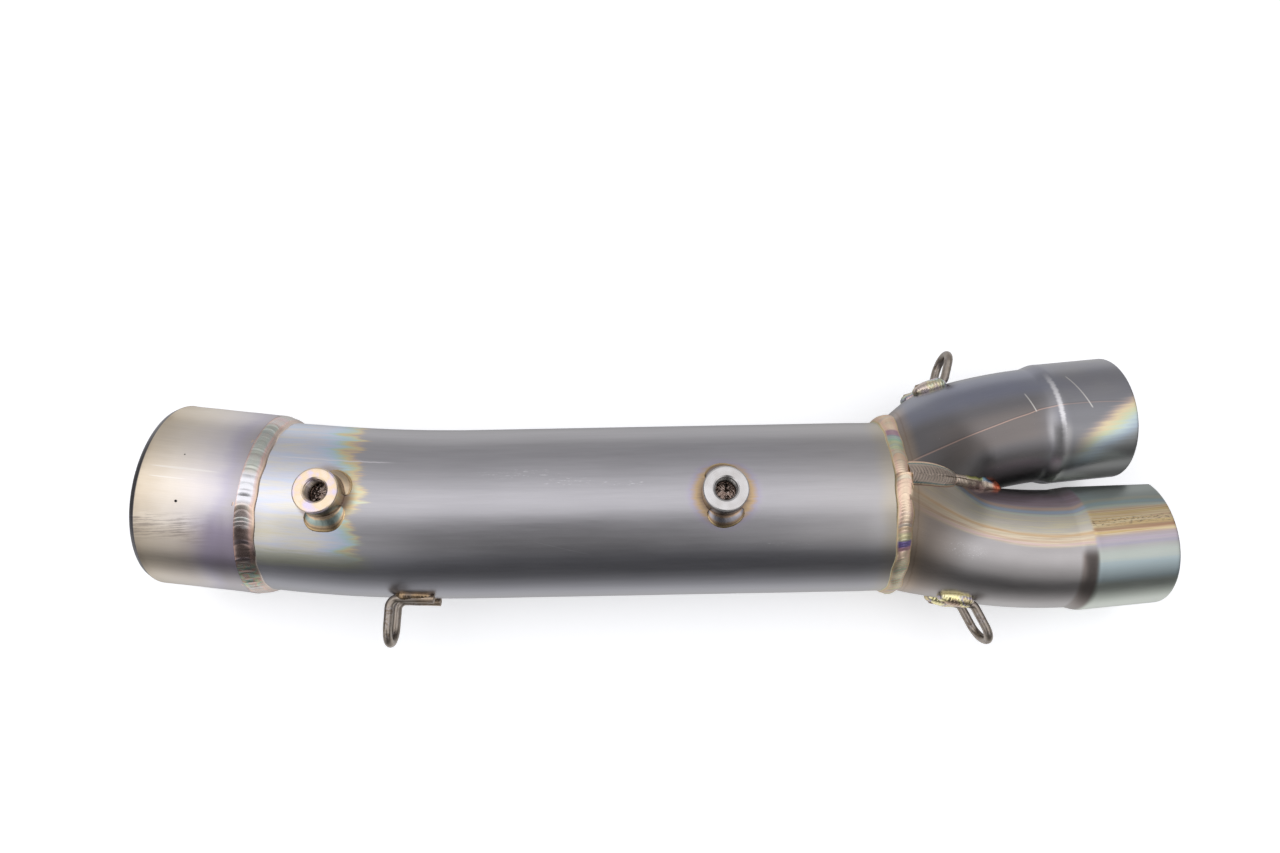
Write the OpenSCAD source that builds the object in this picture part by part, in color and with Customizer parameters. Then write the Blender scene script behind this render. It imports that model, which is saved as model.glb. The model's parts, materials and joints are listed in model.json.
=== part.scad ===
// Exhaust header pipe: two inlet legs merge into one main tube with a slip sleeve at the outlet.
// Millimetres. +X runs along the main tube towards the inlets, +Y to the rear leg's side, +Z up.
// The pipe lies as it rests: on the sleeve and on both inlet sockets, bosses up, floor at z = 0.

/* [Main tube] */
// Outer diameter of the main tube
main_od = 60; // [56:0.5:61]
// Wall of the main tube
main_wall = 1.3; // [1:0.1:2]
// Straight run of the main tube, from the collector joint back to the bend
main_straight = 144.2; // [120:0.2:180]
// Centre-line radius of the long bend that ends in the sleeve
main_bend_radius = 570; // [500:5:700]
// Angle of that bend
main_bend_angle = 7.5; // [6.5:0.1:10]

/* [Outlet sleeve] */
// How much wider the sleeve's bore is than the main tube, so that it takes the next pipe
sleeve_play = 1; // [0.6:0.1:2]
// Wall of the slip sleeve, it also raises the main axis over the floor
sleeve_wall = 1.5; // [1.2:0.1:3]
// Length of the sleeve, mouth to weld
sleeve_length = 35.5; // [32:0.5:50]
// Depth of the bore, mouth to the inner collar
sleeve_bore_depth = 28; // [20:0.5:30]
// Length of main tube that sits inside the collar
sleeve_engage = 5; // [3:0.5:5.5]
// Chamfer around the mouth, outside
sleeve_chamfer = 0.9; // [0.2:0.1:1.2]

/* [Legs] */
// Outer diameter of the two leg tubes
leg_od = 42.4; // [40:0.2:43.6]
// Wall of the leg tubes
leg_wall = 1.2; // [1:0.1:1.8]
// Centre-line radius of the leg bends
leg_bend_radius = 170; // [160:2:190]
// Sideways position of the plane where the two legs are mitred together
mitre_y = 5.5; // [4.5:0.5:7]
// Distance from the collector joint over which a leg spreads to its half of the main tube
flare_length = 23.5; // [20:0.5:26]
// Slope of the trimmed shoulder behind the collector joint
shoulder_slope = 38; // [34:1:44]
// Fall of both legs at their sockets
socket_fall = 3; // [2:0.1:4]

/* [Rear leg] */
// Distance of the bend's socket end from the collector joint, along the main axis
rear_elbow_x = 63.5; // [60:0.5:68]
// Distance of the bend's socket end from the main axis, sideways
rear_elbow_y = 31.4; // [29:0.2:33]
// Direction of the socket in plan
rear_yaw = 5.4; // [4:0.2:8]
// Tilt of the bend's plane
rear_roll = 17; // [10:1:20]
// Straight run after the bend, socket included
rear_end_run = 25.3; // [24.1:0.1:35]
// Length of the expanded socket, step included
rear_socket = 20.5; // [16:0.5:23]

/* [Front leg] */
// Distance of the bend's socket end from the collector joint, along the main axis
front_elbow_x = 71.5; // [68:0.5:74]
// Distance of the bend's socket end from the main axis, sideways
front_elbow_y = 14.8; // [13:0.2:17]
// Direction of the socket in plan
front_yaw = 4.6; // [2:0.2:6]
// Tilt of the bend's plane
front_roll = 13; // [8:1:20]
// Straight run after the bend, socket included
front_end_run = 24.6; // [23.6:0.1:40]
// Length of the expanded socket, step included
front_socket = 23; // [16:0.5:23.5]

/* [Sockets] */
// How much wider the sockets' bore is than the outside of the leg tubes
socket_play = 0; // [0:0.1:3]
// Wall of the sockets
socket_wall = 1.2; // [1:0.1:1.6]
// Length of the swaged step between tube and socket
socket_step = 3; // [2:0.5:5]

/* [Bosses] */
// Outer diameter of the threaded bosses
boss_od = 15; // [13:0.5:18]
// Height of the boss face over the top of the tube
boss_height = 8; // [7.5:0.5:12]
// Core diameter of the thread
boss_hole = 6.8; // [5:0.1:8.5]
// Depth of the threaded hole
boss_hole_depth = 7; // [5:0.5:7.5]
// Width of the countersink at the hole's mouth
boss_countersink = 0.85; // [0.3:0.05:1.2]
// Chamfer around the face
boss_chamfer = 0.5; // [0.2:0.1:0.8]
// Distance of the inlet-end boss from the collector joint
boss_inlet_at = 59.2; // [40:0.2:120]
// Distance of the outlet-end boss from the start of the main tube's bend
boss_outlet_at = 47.3; // [14:0.1:56]

/* [Spring hooks] */
// Diameter of the hook wire
wire_d = 3.1; // [2.5:0.1:3.4]
// Half the spacing of the two arms of a hook
hook_half_gap = 5.8; // [5:0.1:6]
// Centre-line radius of the bend between foot and arm
hook_bend_radius = 3; // [2.6:0.1:4]
// Depth that a hook's feet are seated against the tube
hook_seat = 0.35; // [0.3:0.05:0.5]
// Length of the outlet hook's feet
hook_outlet_foot = 12.5; // [11.5:0.5:16]
// Straight arm of the outlet hook
hook_outlet_arm = 6.2; // [5:0.1:12]
// Distance of the outlet hook's arms from the start of the main tube's bend
hook_outlet_at = 28.5; // [20:0.5:34]
// Length of the leg hooks' feet
hook_leg_foot = 10.5; // [10:0.5:14]
// Straight arm of the rear hook
hook_rear_arm = 5.4; // [4.4:0.2:7]
// Straight arm of the front hook
hook_front_arm = 6.6; // [5.4:0.2:8]
// Lean of both leg hooks' arms towards the sockets
hook_leg_lean = 36; // [28:1:44]
// Angle along the rear leg's bend, from its socket end, to the middle of the rear hook's feet
hook_rear_at = 12.2; // [11.5:0.1:14]
// Angle along the front leg's bend, from its socket end, to the middle of the front hook's feet
hook_front_at = 14.7; // [13:0.1:16.5]
// Angle round the rear leg from the bend's plane up to the rear hook
hook_rear_round = 17; // [5:1:25]
// Angle round the front leg from the bend's plane up to the front hook
hook_front_round = 8; // [0:1:20]

/* [Welds] */
// Height of the ring bead at the collector joint over the tube
ring_bead_height = 1.4; // [1:0.1:1.8]
// Half width of the ring bead at the collector joint
ring_bead_half = 3.2; // [2.6:0.1:4]
// Width of the fillet bead between sleeve and main tube
sleeve_bead_width = 6; // [4.5:0.5:7.5]
// How far the fillet bead's crown stays below the sleeve's surface
sleeve_bead_drop = 0.1; // [0:0.05:0.5]
// Distance of the crotch's puddle weld from the collector joint
crotch_puddle_at = 5.5; // [4.5:0.5:7]
// Distance from the collector joint at which a bead follows the puddle
crotch_bead_at = 20.5; // [19:0.5:22]
// Distance from the collector joint at which that bead ends
crotch_end_at = 36; // [34:0.5:37]
// Radius of the puddle weld at the crotch
crotch_puddle_radius = 5; // [4.6:0.1:6]
// Radius of the bead that follows the puddle down the crotch
crotch_bead_radius = 3; // [2.6:0.1:3.6]
// Radius of the fillet patches at the bosses
boss_fillet_radius = 1.9; // [1.4:0.1:2.2]
// Radius of the beads on the hook feet
foot_bead_radius = 2.5; // [2.3:0.1:2.8]
// Length of the beads on the hook feet
foot_bead_length = 9; // [7:0.5:10]

/* [Hidden] */
$fn = 96;
main_r = main_od / 2;
main_ir = main_r - main_wall;
leg_r = leg_od / 2;
leg_ir = leg_r - leg_wall;
socket_ir = leg_r + socket_play / 2;
socket_r = socket_ir + socket_wall;
sleeve_ir = main_r + sleeve_play / 2;
sleeve_r = sleeve_ir + sleeve_wall;
boss_r = boss_od / 2;
wire_r = wire_d / 2;
axis_z = sleeve_r;
boss_face_z = axis_z + main_r + boss_height;
through = 1;
// A foot is this much thinner than the bend that it comes out of
foot_inset = 0.04;

// Legs: [elbow, roll, plan direction, end run, socket length, side]
function elbow_z(run) = socket_r * cos(socket_fall) + run * sin(socket_fall);
rear = [
    [rear_elbow_x, rear_elbow_y, elbow_z(rear_end_run)], -rear_roll, rear_yaw,
    rear_end_run, rear_socket, 1
];
front = [
    [front_elbow_x, -front_elbow_y, elbow_z(front_end_run)], front_roll, front_yaw,
    front_end_run, front_socket, -1
];
leg_sweep = 33;

// A vector of a leg's own frame, turned into the part's frame by roll, fall and plan direction
function rolled(v, a) = [v[0], v[1] * cos(a) - v[2] * sin(a), v[1] * sin(a) + v[2] * cos(a)];
function fallen(v, a) = [v[0] * cos(a) + v[2] * sin(a), v[1], -v[0] * sin(a) + v[2] * cos(a)];
function swung(v, a) = [v[0] * cos(a) - v[1] * sin(a), v[0] * sin(a) + v[1] * cos(a), v[2]];
function turned(l, v) = swung(fallen(rolled(v, l[1]), socket_fall), l[2]);
// Point on a leg's axis, at an angle back along its bend
function bend_point(l, a) = l[0]
    + leg_bend_radius * turned(l, [-sin(a), -l[5] * (1 - cos(a)), 0]);
function mouth_point(l) = l[0] + l[3] * turned(l, [1, 0, 0]);
function angle_at(l, x) = asin((l[0][0] - x) / leg_bend_radius);

// Axis of a leg's flare, from the main tube's axis to just inside the leg tube
flare_inset = 0.3;
flare_root = [0, 0, axis_z];
function flare_tip(l) = bend_point(l, angle_at(l, flare_length));

// How far a point is outside a leg's tube or flare, less than zero inside
function own(l, p) = rolled(fallen(swung(p - l[0], -l[2]), -socket_fall), -l[1]);
function tube_gap(l, p) = let(q = own(l, p), out = q[1] * l[5])
    (q[0] < 0 ? norm([norm([q[0], out + leg_bend_radius]) - leg_bend_radius, q[2]]) : norm([out, q[2]]))
    - leg_r;
function flare_gap(l, p) = let(way = flare_tip(l) - flare_root, run = norm(way), h = (p - flare_root) * way / run)
    max(norm(p - flare_root - h / run * way) - main_r + (main_r - leg_r + flare_inset) * h / run, h - run);
function in_both_legs(p) = max([for (l = [rear, front]) min(tube_gap(l, p), flare_gap(l, p))]) < 0;

// Point where both legs' skins reach the mitre plane, over (up = 1) or under (up = -1) their axes, by halving
function crease_point(x, up) = let(level = bend_point(rear, angle_at(rear, x))[2])
    crease_search([x, mitre_y, level], [x, mitre_y, level + up * main_od], 16);
function crease_search(in, out, steps) = let(middle = (in + out) / 2)
    steps == 0 ? in
    : in_both_legs(middle) ? crease_search(middle, out, steps - 1) : crease_search(in, middle, steps - 1);

// Outlet end: the bend's centre is at the main axis height
bend_centre = [-main_straight, main_bend_radius, axis_z];
function outlet_point(a, out) = bend_centre
    + main_bend_radius * [-sin(a), -cos(a), 0] + out * [-cos(a), sin(a), 0];
function arc_angle(distance) = distance / main_bend_radius * 180 / PI;
sleeve_mouth = outlet_point(main_bend_angle, sleeve_length);

// Extents, to put the origin under the middle of the part
function seat(r) = sqrt(pow(r + wire_r - hook_seat, 2) - hook_half_gap * hook_half_gap) - r;
hook_tip = hook_half_gap + wire_r;
x_low = sleeve_mouth[0] - (sleeve_r - sleeve_chamfer) * sin(main_bend_angle);
x_high = mouth_point(front)[0] + socket_r * sin(front_yaw);
outlet_hook_reach = main_r + seat(main_r) + hook_bend_radius + hook_outlet_arm + hook_tip;
rear_hook_arm = hook_rear_arm + hook_half_gap;
rear_hook_out = leg_r + seat(leg_r) + foot_drop(hook_leg_lean) + rear_hook_arm * cos(hook_leg_lean);
rear_hook_ahead = hook_leg_foot / 2 + rear_hook_arm * sin(hook_leg_lean);
rear_hook_level = rear_hook_out * cos(hook_rear_round);
rear_hook_tip = turned(rear, [
    rear_hook_ahead * cos(hook_rear_at) - rear_hook_level * sin(hook_rear_at),
    rear_hook_ahead * sin(hook_rear_at) + rear_hook_level * cos(hook_rear_at),
    rear_hook_out * sin(hook_rear_round)
]);
y_low = outlet_point(arc_angle(hook_outlet_at), 0)[1] - outlet_hook_reach;
y_high = bend_point(rear, hook_rear_at)[1] + rear_hook_tip[1] + wire_r;
centre_shift = [-(x_low + x_high) / 2, -(y_low + y_high) / 2, 0];

// Places things on the main tube's bend: local X points on towards the outlet, Y to the bend's centre
module on_bend(a) {
    translate([-main_straight, 0, axis_z]) mirror([1, 0, 0])
        translate([0, main_bend_radius, 0]) rotate([0, 0, a]) translate([0, -main_bend_radius, 0])
            children();
}

// Solid of the bend in the main tube
module bend_solid(r, sweep) {
    on_bend(0) translate([0, main_bend_radius, 0]) rotate([0, 0, -90])
        rotate_extrude(angle = sweep) translate([main_bend_radius, 0]) circle(r);
}

// Solid of the straight run of the main tube
module straight_solid(r, ahead) {
    translate([ahead, 0, axis_z]) rotate([0, -90, 0]) cylinder(h = main_straight + ahead, r = r);
}

// Puts things into a leg's own frame: origin at the elbow, X towards the mouth, Y outwards
module in_leg(l) {
    translate(l[0]) rotate([l[1], socket_fall, l[2]])
        mirror([0, l[5] > 0 ? 0 : 1, 0]) children();
}

// Leg tube as a solid: bend, run, swaged step and socket
module leg_path(l, r, r_socket, beyond) {
    plain = l[3] - l[4];
    in_leg(l) {
        translate([0, -leg_bend_radius, 0]) rotate([0, 0, 90])
            rotate_extrude(angle = leg_sweep) translate([leg_bend_radius, 0]) circle(r);
        rotate([0, 90, 0]) rotate_extrude() polygon([
            [0, 0], [r, 0], [r, plain], [r_socket, plain + socket_step],
            [r_socket, l[3] + beyond], [0, l[3] + beyond]
        ]);
    }
}

// Cone between two points in space
module cone_between(from, to, r1, r2) {
    way = to - from;
    translate(from)
        rotate([0, acos(way[2] / norm(way)), atan2(way[1], way[0])])
            cylinder(h = norm(way), r1 = r1, r2 = r2);
}

// Flare of a leg, from the main tube's size behind the collector joint to just inside the leg tube
module flare(l, r_root, r_tip) {
    back = 12;
    way = flare_tip(l) - flare_root;
    run = norm(way);
    grow = (r_root - r_tip + flare_inset) / run * back;
    cone_between(flare_root - back / run * way, flare_tip(l), r_root + grow, r_tip - flare_inset);
}

// What is taken off behind the collector joint and around the shoulder
module collector_trim(r, start) {
    far = 38;
    outside = 110;
    behind = -60;
    inside = start < 0 ? r : 0;
    translate([0, 0, axis_z]) rotate([0, 90, 0]) rotate_extrude() polygon([
        [inside, start], [inside, behind], [outside, behind], [outside, far],
        [r + far * tan(shoulder_slope), far], [r, 0]
    ]);
}

// The other leg's side of the mitre
module mitre_waste(side) {
    depth = 120;
    reach = 200;
    translate([-reach / 3, side > 0 ? mitre_y - depth : mitre_y, -reach / 3]) cube([reach, depth, reach]);
}

// Outside of a leg as a filled solid: tube and flare are trimmed before they are joined
module leg_solid(l) {
    difference() {
        leg_path(l, leg_r, socket_r, 0);
        collector_trim(main_r, 0);
        mitre_waste(l[5]);
    }
    difference() {
        flare(l, main_r, leg_r);
        collector_trim(main_r, 0);
        mitre_waste(l[5]);
    }
}

module leg_hollow(l) {
    mouth_inset = 0.1;
    difference() {
        union() {
            leg_path(l, leg_ir, socket_ir, through);
            flare(l, main_ir, leg_ir);
        }
        collector_trim(main_ir - mouth_inset, -mouth_inset / 10);
    }
}

module leg(l) {
    difference() {
        leg_solid(l);
        leg_hollow(l);
    }
}

// Bent-wire hook: feet along -X, arms along +Y leaning to +X, joined by a half loop, origin at the bends
module wire_hook(foot, arm, lean) {
    sweep = 90 - lean;
    overlap = 0.4;
    rotate([0, 0, -lean]) {
        for (side = [-1, 1]) translate([-hook_bend_radius, 0, side * hook_half_gap]) {
            rotate_extrude(angle = -sweep) translate([hook_bend_radius, 0]) circle(wire_r);
            translate([hook_bend_radius, 0, 0]) rotate([-90, 0, 0]) cylinder(h = arm, r = wire_r);
            rotate([0, 0, -sweep]) translate([hook_bend_radius, overlap, 0])
                rotate([90, 0, 0]) cylinder(h = foot + overlap, r = wire_r - foot_inset);
        }
        translate([0, arm, 0]) rotate([0, -90, 0])
            rotate_extrude(angle = 180) translate([hook_half_gap, 0]) circle(wire_r);
    }
}

// Distance of the feet's axes below the hook's origin, and of their bend's end behind it
function foot_drop(lean) = hook_bend_radius * (1 - sin(lean));
function foot_back(lean) = hook_bend_radius * cos(lean);

// Seats a hook on a tube of radius r: origin on the tube's axis below the arms
module seated(r, lean) {
    translate([0, r + seat(r) + foot_drop(lean), 0]) children();
}

// Bead along both feet of a hook: round, with rounded-off ends
module foot_beads(r, lean) {
    start = foot_back(lean) + foot_bead_radius;
    sunk = 0.5;
    nose = 0.5 * foot_bead_radius;
    cheek = 0.3 * foot_bead_radius;
    cheek_r = 0.7 * foot_bead_radius;
    for (side = [-1, 1])
        translate([-start, r + seat(r) - sunk, side * hook_half_gap]) rotate([0, -90, 0])
            rotate_extrude() polygon([
                [0, -nose], [cheek_r, -cheek], [foot_bead_radius, cheek],
                [foot_bead_radius, foot_bead_length - cheek], [cheek_r, foot_bead_length + cheek],
                [0, foot_bead_length + nose]
            ]);
}

// The straight feet alone, for what lies around them
module foot_rods(r, lean, foot) {
    for (side = [-1, 1])
        translate([-foot_back(lean), r + seat(r), side * hook_half_gap]) rotate([0, -90, 0])
            cylinder(h = foot, r = wire_r - foot_inset);
}

// Hook places; each local frame has X along the foot's tube towards the arms and Y outwards
module at_outlet_hook() {
    middle = hook_outlet_foot / 2;
    on_bend(arc_angle(hook_outlet_at - middle)) mirror([0, 1, 0]) translate([middle, 0, 0]) children();
}

// A short straight rod in place of the bend, for what is seated on it
module seat_rod(r) {
    length = 60;
    translate([-length / 2, 0, 0]) rotate([0, 90, 0]) cylinder(h = length, r = r);
}

module at_leg_hook(l, a, round) {
    in_leg(l) translate([0, -leg_bend_radius, 0]) rotate([0, 0, a]) translate([0, leg_bend_radius, 0])
        rotate([round, 0, 0]) translate([hook_leg_foot / 2, 0, 0]) children();
}

module outlet_hook_wire() {
    at_outlet_hook() seated(main_r, 0) wire_hook(hook_outlet_foot, hook_outlet_arm, 0);
}

module rear_hook_wire() {
    at_leg_hook(rear, hook_rear_at, hook_rear_round)
        seated(leg_r, hook_leg_lean) wire_hook(hook_leg_foot, hook_rear_arm, hook_leg_lean);
}

module front_hook_wire() {
    at_leg_hook(front, hook_front_at, hook_front_round)
        seated(leg_r, hook_leg_lean) wire_hook(hook_leg_foot, hook_front_arm, hook_leg_lean);
}

// Turned boss with its threaded blind hole, from the tube's middle up
module boss() {
    hole_r = boss_hole / 2;
    sunk = 3;
    foot_z = axis_z + main_r - sunk;
    rotate_extrude() polygon([
        [0, foot_z], [boss_r, foot_z], [boss_r, boss_face_z - boss_chamfer],
        [boss_r - boss_chamfer, boss_face_z], [hole_r + boss_countersink, boss_face_z],
        [hole_r, boss_face_z - boss_countersink], [hole_r, boss_face_z - boss_hole_depth],
        [0, boss_face_z - boss_hole_depth]
    ]);
}

// Fillet patches round a boss: [start angle, sweep] for each
module boss_fillets(patches) {
    sunk = 0.6;
    clear = 0.4;
    difference() {
        for (p = patches)
            translate([0, 0, axis_z + main_r - sunk]) rotate([0, 0, p[0]])
                rotate_extrude(angle = p[1]) translate([boss_r + clear, 0]) circle(boss_fillet_radius);
        cylinder(h = boss_face_z, r = boss_r);
    }
}

module at_boss_outlet() {
    on_bend(arc_angle(boss_outlet_at)) translate([0, 0, -axis_z]) children();
}

module at_boss_inlet() {
    translate([-boss_inlet_at, 0, 0]) children();
}

module outlet_sleeve() {
    color("#b9ab97")
        difference() {
            on_bend(main_bend_angle) rotate([0, 90, 0]) rotate_extrude() polygon([
                [main_ir, 0], [sleeve_r, 0], [sleeve_r, sleeve_length - sleeve_chamfer],
                [sleeve_r - sleeve_chamfer, sleeve_length], [sleeve_ir, sleeve_length],
                [sleeve_ir, sleeve_length - sleeve_bore_depth],
                [main_ir, sleeve_length - sleeve_bore_depth]
            ]);
            bend_solid(main_r, main_bend_angle + arc_angle(sleeve_engage));
        }
}

module main_pipe() {
    end_angle = main_bend_angle + arc_angle(sleeve_engage);
    color("#77757a")
        difference() {
            union() {
                straight_solid(main_r, 0);
                bend_solid(main_r, end_angle);
            }
            union() {
                straight_solid(main_ir, through);
                bend_solid(main_ir, end_angle + arc_angle(through));
            }
        }
}

module inlet_pipe_rear() {
    color("#6f6d72") leg(rear);
}

module inlet_pipe_front() {
    color("#7d7a78") leg(front);
}

module boss_outlet_end() {
    color("#b9b2a8")
        difference() {
            at_boss_outlet() boss();
            bend_solid(main_r, main_bend_angle);
        }
}

module boss_inlet_end() {
    color("#b4b2b0")
        difference() {
            at_boss_inlet() boss();
            straight_solid(main_r, 0);
        }
}

module spring_hook_outlet() {
    color("#8a8279")
        difference() {
            outlet_hook_wire();
            at_outlet_hook() seat_rod(main_r);
        }
}

module spring_hook_rear() {
    color("#857e77")
        difference() {
            rear_hook_wire();
            leg_solid(rear);
        }
}

module spring_hook_front() {
    color("#857e77")
        difference() {
            front_hook_wire();
            leg_solid(front);
        }
}

// Convex fillet between the sleeve's end face and the main tube
module weld_sleeve_ring() {
    crown = sleeve_r - sleeve_bead_drop;
    rise = crown - main_r;
    round_r = (rise * rise + sleeve_bead_width * sleeve_bead_width) / (2 * rise);
    below = main_r - 1;
    color("#a98f80")
        difference() {
            on_bend(main_bend_angle) rotate([0, -90, 0]) rotate_extrude()
                intersection() {
                    translate([crown - round_r, 0]) circle(round_r);
                    translate([below, 0]) square([2 * rise, 2 * round_r]);
                }
            bend_solid(main_r, main_bend_angle + arc_angle(sleeve_engage));
        }
}

// Ring bead that covers the joint of main tube and legs
module weld_collector_ring() {
    round_r = (ring_bead_half * ring_bead_half + ring_bead_height * ring_bead_height)
        / (2 * ring_bead_height);
    bore_inset = 1.2;
    color("#a98f86")
        difference() {
            translate([0, 0, axis_z]) rotate([0, 90, 0])
                rotate_extrude() translate([main_r + ring_bead_height - round_r, 0]) circle(round_r);
            straight_solid(main_r, 0);
            leg_solid(rear);
            leg_solid(front);
            translate([-through, 0, axis_z]) rotate([0, 90, 0])
                cylinder(h = 3 * round_r, r = main_ir - bore_inset);
        }
}

// Crotch weld: how deep its middle lies in the crease at puddle, bead and end
crotch_top_sunk = [2.9, 1.7, -2.2];
crotch_under_sunk = [2, 1.6, 2.1];

module crotch_weld(up, sunk) {
    stations = [crotch_puddle_at, crotch_bead_at, crotch_end_at];
    points = [for (i = [0:2]) crease_point(stations[i], up) - [0, 0, up * sunk[i]]];
    taper = 1.2;
    difference() {
        union() {
            cone_between(points[0], points[1], crotch_puddle_radius, crotch_puddle_radius - taper);
            cone_between(points[1], points[2], crotch_bead_radius, crotch_bead_radius - taper / 2);
        }
        leg_solid(rear);
        leg_solid(front);
    }
}

module weld_crotch_top() {
    color("#9b8e86") crotch_weld(1, crotch_top_sunk);
}

module weld_crotch_underside() {
    color("#9b8e86") crotch_weld(-1, crotch_under_sunk);
}

module weld_boss_outlet_end() {
    patches = [[100, 85], [215, 110]];
    color("#a08c66")
        difference() {
            at_boss_outlet() boss_fillets(patches);
            at_boss_outlet() translate([0, 0, axis_z]) seat_rod(main_r);
        }
}

module weld_boss_inlet_end() {
    patches = [[50, 85], [225, 95]];
    color("#a0926e")
        difference() {
            at_boss_inlet() boss_fillets(patches);
            straight_solid(main_r, 0);
        }
}

module weld_hook_outlet() {
    color("#938578")
        difference() {
            at_outlet_hook() foot_beads(main_r, 0);
            at_outlet_hook() seat_rod(main_r);
            at_outlet_hook() foot_rods(main_r, 0, hook_outlet_foot);
        }
}

module weld_hook_rear() {
    color("#938578")
        difference() {
            at_leg_hook(rear, hook_rear_at, hook_rear_round) foot_beads(leg_r, hook_leg_lean);
            at_leg_hook(rear, hook_rear_at, hook_rear_round) seat_rod(leg_r);
            at_leg_hook(rear, hook_rear_at, hook_rear_round) foot_rods(leg_r, hook_leg_lean, hook_leg_foot);
        }
}

module weld_hook_front() {
    color("#938578")
        difference() {
            at_leg_hook(front, hook_front_at, hook_front_round) foot_beads(leg_r, hook_leg_lean);
            at_leg_hook(front, hook_front_at, hook_front_round) seat_rod(leg_r);
            at_leg_hook(front, hook_front_at, hook_front_round) foot_rods(leg_r, hook_leg_lean, hook_leg_foot);
        }
}

translate(centre_shift) {
    outlet_sleeve();
    main_pipe();
    inlet_pipe_rear();
    inlet_pipe_front();
    boss_outlet_end();
    boss_inlet_end();
    spring_hook_outlet();
    spring_hook_rear();
    spring_hook_front();
    weld_sleeve_ring();
    weld_collector_ring();
    weld_crotch_top();
    weld_crotch_underside();
    weld_boss_outlet_end();
    weld_boss_inlet_end();
    weld_hook_outlet();
    weld_hook_rear();
    weld_hook_front();
}
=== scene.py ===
"""Exhaust header pipe: its looks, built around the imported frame.

Blender objects are in metres in the row frame. The shapes below are worked out in millimetres in the
joint frame: X = 0 at the collector joint, y = 0 on the main tube's axis, floor at z = 0.
"""

import json
import math

import bmesh
import bpy
import numpy as np
from mathutils import Matrix

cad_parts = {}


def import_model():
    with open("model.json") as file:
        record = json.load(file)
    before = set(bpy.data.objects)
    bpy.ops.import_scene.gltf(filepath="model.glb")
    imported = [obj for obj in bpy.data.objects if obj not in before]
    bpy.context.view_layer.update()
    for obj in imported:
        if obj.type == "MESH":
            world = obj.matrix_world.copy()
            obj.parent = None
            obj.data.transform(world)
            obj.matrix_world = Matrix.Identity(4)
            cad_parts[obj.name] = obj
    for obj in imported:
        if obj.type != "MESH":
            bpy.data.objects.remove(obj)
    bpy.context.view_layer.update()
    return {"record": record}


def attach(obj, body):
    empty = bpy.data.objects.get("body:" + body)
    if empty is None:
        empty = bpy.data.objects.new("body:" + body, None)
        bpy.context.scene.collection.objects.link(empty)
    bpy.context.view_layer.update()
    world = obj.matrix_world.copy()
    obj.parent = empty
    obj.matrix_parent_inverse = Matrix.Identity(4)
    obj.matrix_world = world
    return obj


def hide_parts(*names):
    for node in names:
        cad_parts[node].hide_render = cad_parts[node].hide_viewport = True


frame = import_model()
MM = 0.001

# ---------------------------------------------------------------- sizes of the part, millimetres
MAIN_R, MAIN_WALL = 30.0, 1.3
STRAIGHT, BEND_R, BEND = 144.2, 570.0, math.radians(7.5)
BEND_END = STRAIGHT + BEND_R * BEND
SLEEVE_R, SLEEVE_BORE_R, SLEEVE_LENGTH, SLEEVE_DEPTH = 32.0, 30.5, 35.5, 28.0
SLEEVE_ENGAGE, SLEEVE_CHAMFER = 5.0, 0.9
AXIS_Z = SLEEVE_R
LEG_R, LEG_WALL, LEG_BEND_R = 21.2, 1.2, 170.0
SOCKET_R, SOCKET_STEP = 22.4, 5.0
MITRE_Y, FLARE_LENGTH, SHOULDER_SLOPE = 5.5, 23.5, math.radians(38)
FALL = math.radians(3)
BOSS_R, BOSS_HEIGHT, BOSS_HOLE_R, BOSS_HOLE_DEPTH = 7.5, 8.0, 3.4, 7.0
BOSS_FACE_Z = AXIS_Z + MAIN_R + BOSS_HEIGHT
BOSS_INLET_AT, BOSS_OUTLET_AT = 59.2, 47.3
WIRE_R, HOOK_HALF_GAP, HOOK_BEND_R, HOOK_SEAT = 1.55, 5.8, 3.0, 0.35

mounts = {m["name"]: m for m in frame["record"]["mounts"]}
inlet_thread = np.array(mounts["boss_inlet_thread"]["pos_m"]) / MM
SHIFT = np.array([inlet_thread[0] + BOSS_INLET_AT, inlet_thread[1], 0.0])

# The camera stands over the part and a little to the front; its place is in the joint frame
CAMERA_AT = np.array([-86.5, -59.18, 369.31])
CAMERA_ELEVATION, CAMERA_ROLL = math.radians(75), math.radians(-1.08)
CAMERA_FOCAL_PX, PHOTO_WIDTH_PX, SENSOR_MM = 950.0, 1280.0, 36.0


# ---------------------------------------------------------------- small helpers
def smooth(x, low, high):
    t = np.clip((np.asarray(x, float) - low) / (high - low), 0, 1)
    return t * t * (3 - 2 * t)


def wobble(x, seed, length, terms=6):
    """A smooth random line, about -1 to 1, with features about that long."""
    rng = np.random.default_rng(seed)
    total = np.zeros_like(np.asarray(x, float))
    for k in range(terms):
        wave = length * rng.uniform(0.5, 2.0)
        total += np.sin(2 * np.pi * (x / wave + rng.uniform()))
    return total / math.sqrt(terms)


def closed_wobble(turn, seed, cycles, terms=6):
    """The same round a full turn, so that it closes."""
    rng = np.random.default_rng(seed)
    total = np.zeros_like(np.asarray(turn, float))
    for k in range(terms):
        total += np.sin(2 * np.pi * (turn * rng.integers(max(1, cycles // 2), cycles * 2) + rng.uniform()))
    return total / math.sqrt(terms)


def unit(v):
    v = np.asarray(v, float)
    return v / np.linalg.norm(v, axis=-1, keepdims=True)


def turn_x(a):
    return np.array([[1, 0, 0], [0, math.cos(a), -math.sin(a)], [0, math.sin(a), math.cos(a)]])


def turn_y(a):
    return np.array([[math.cos(a), 0, math.sin(a)], [0, 1, 0], [-math.sin(a), 0, math.cos(a)]])


def turn_z(a):
    return np.array([[math.cos(a), -math.sin(a), 0], [math.sin(a), math.cos(a), 0], [0, 0, 1]])


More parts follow.
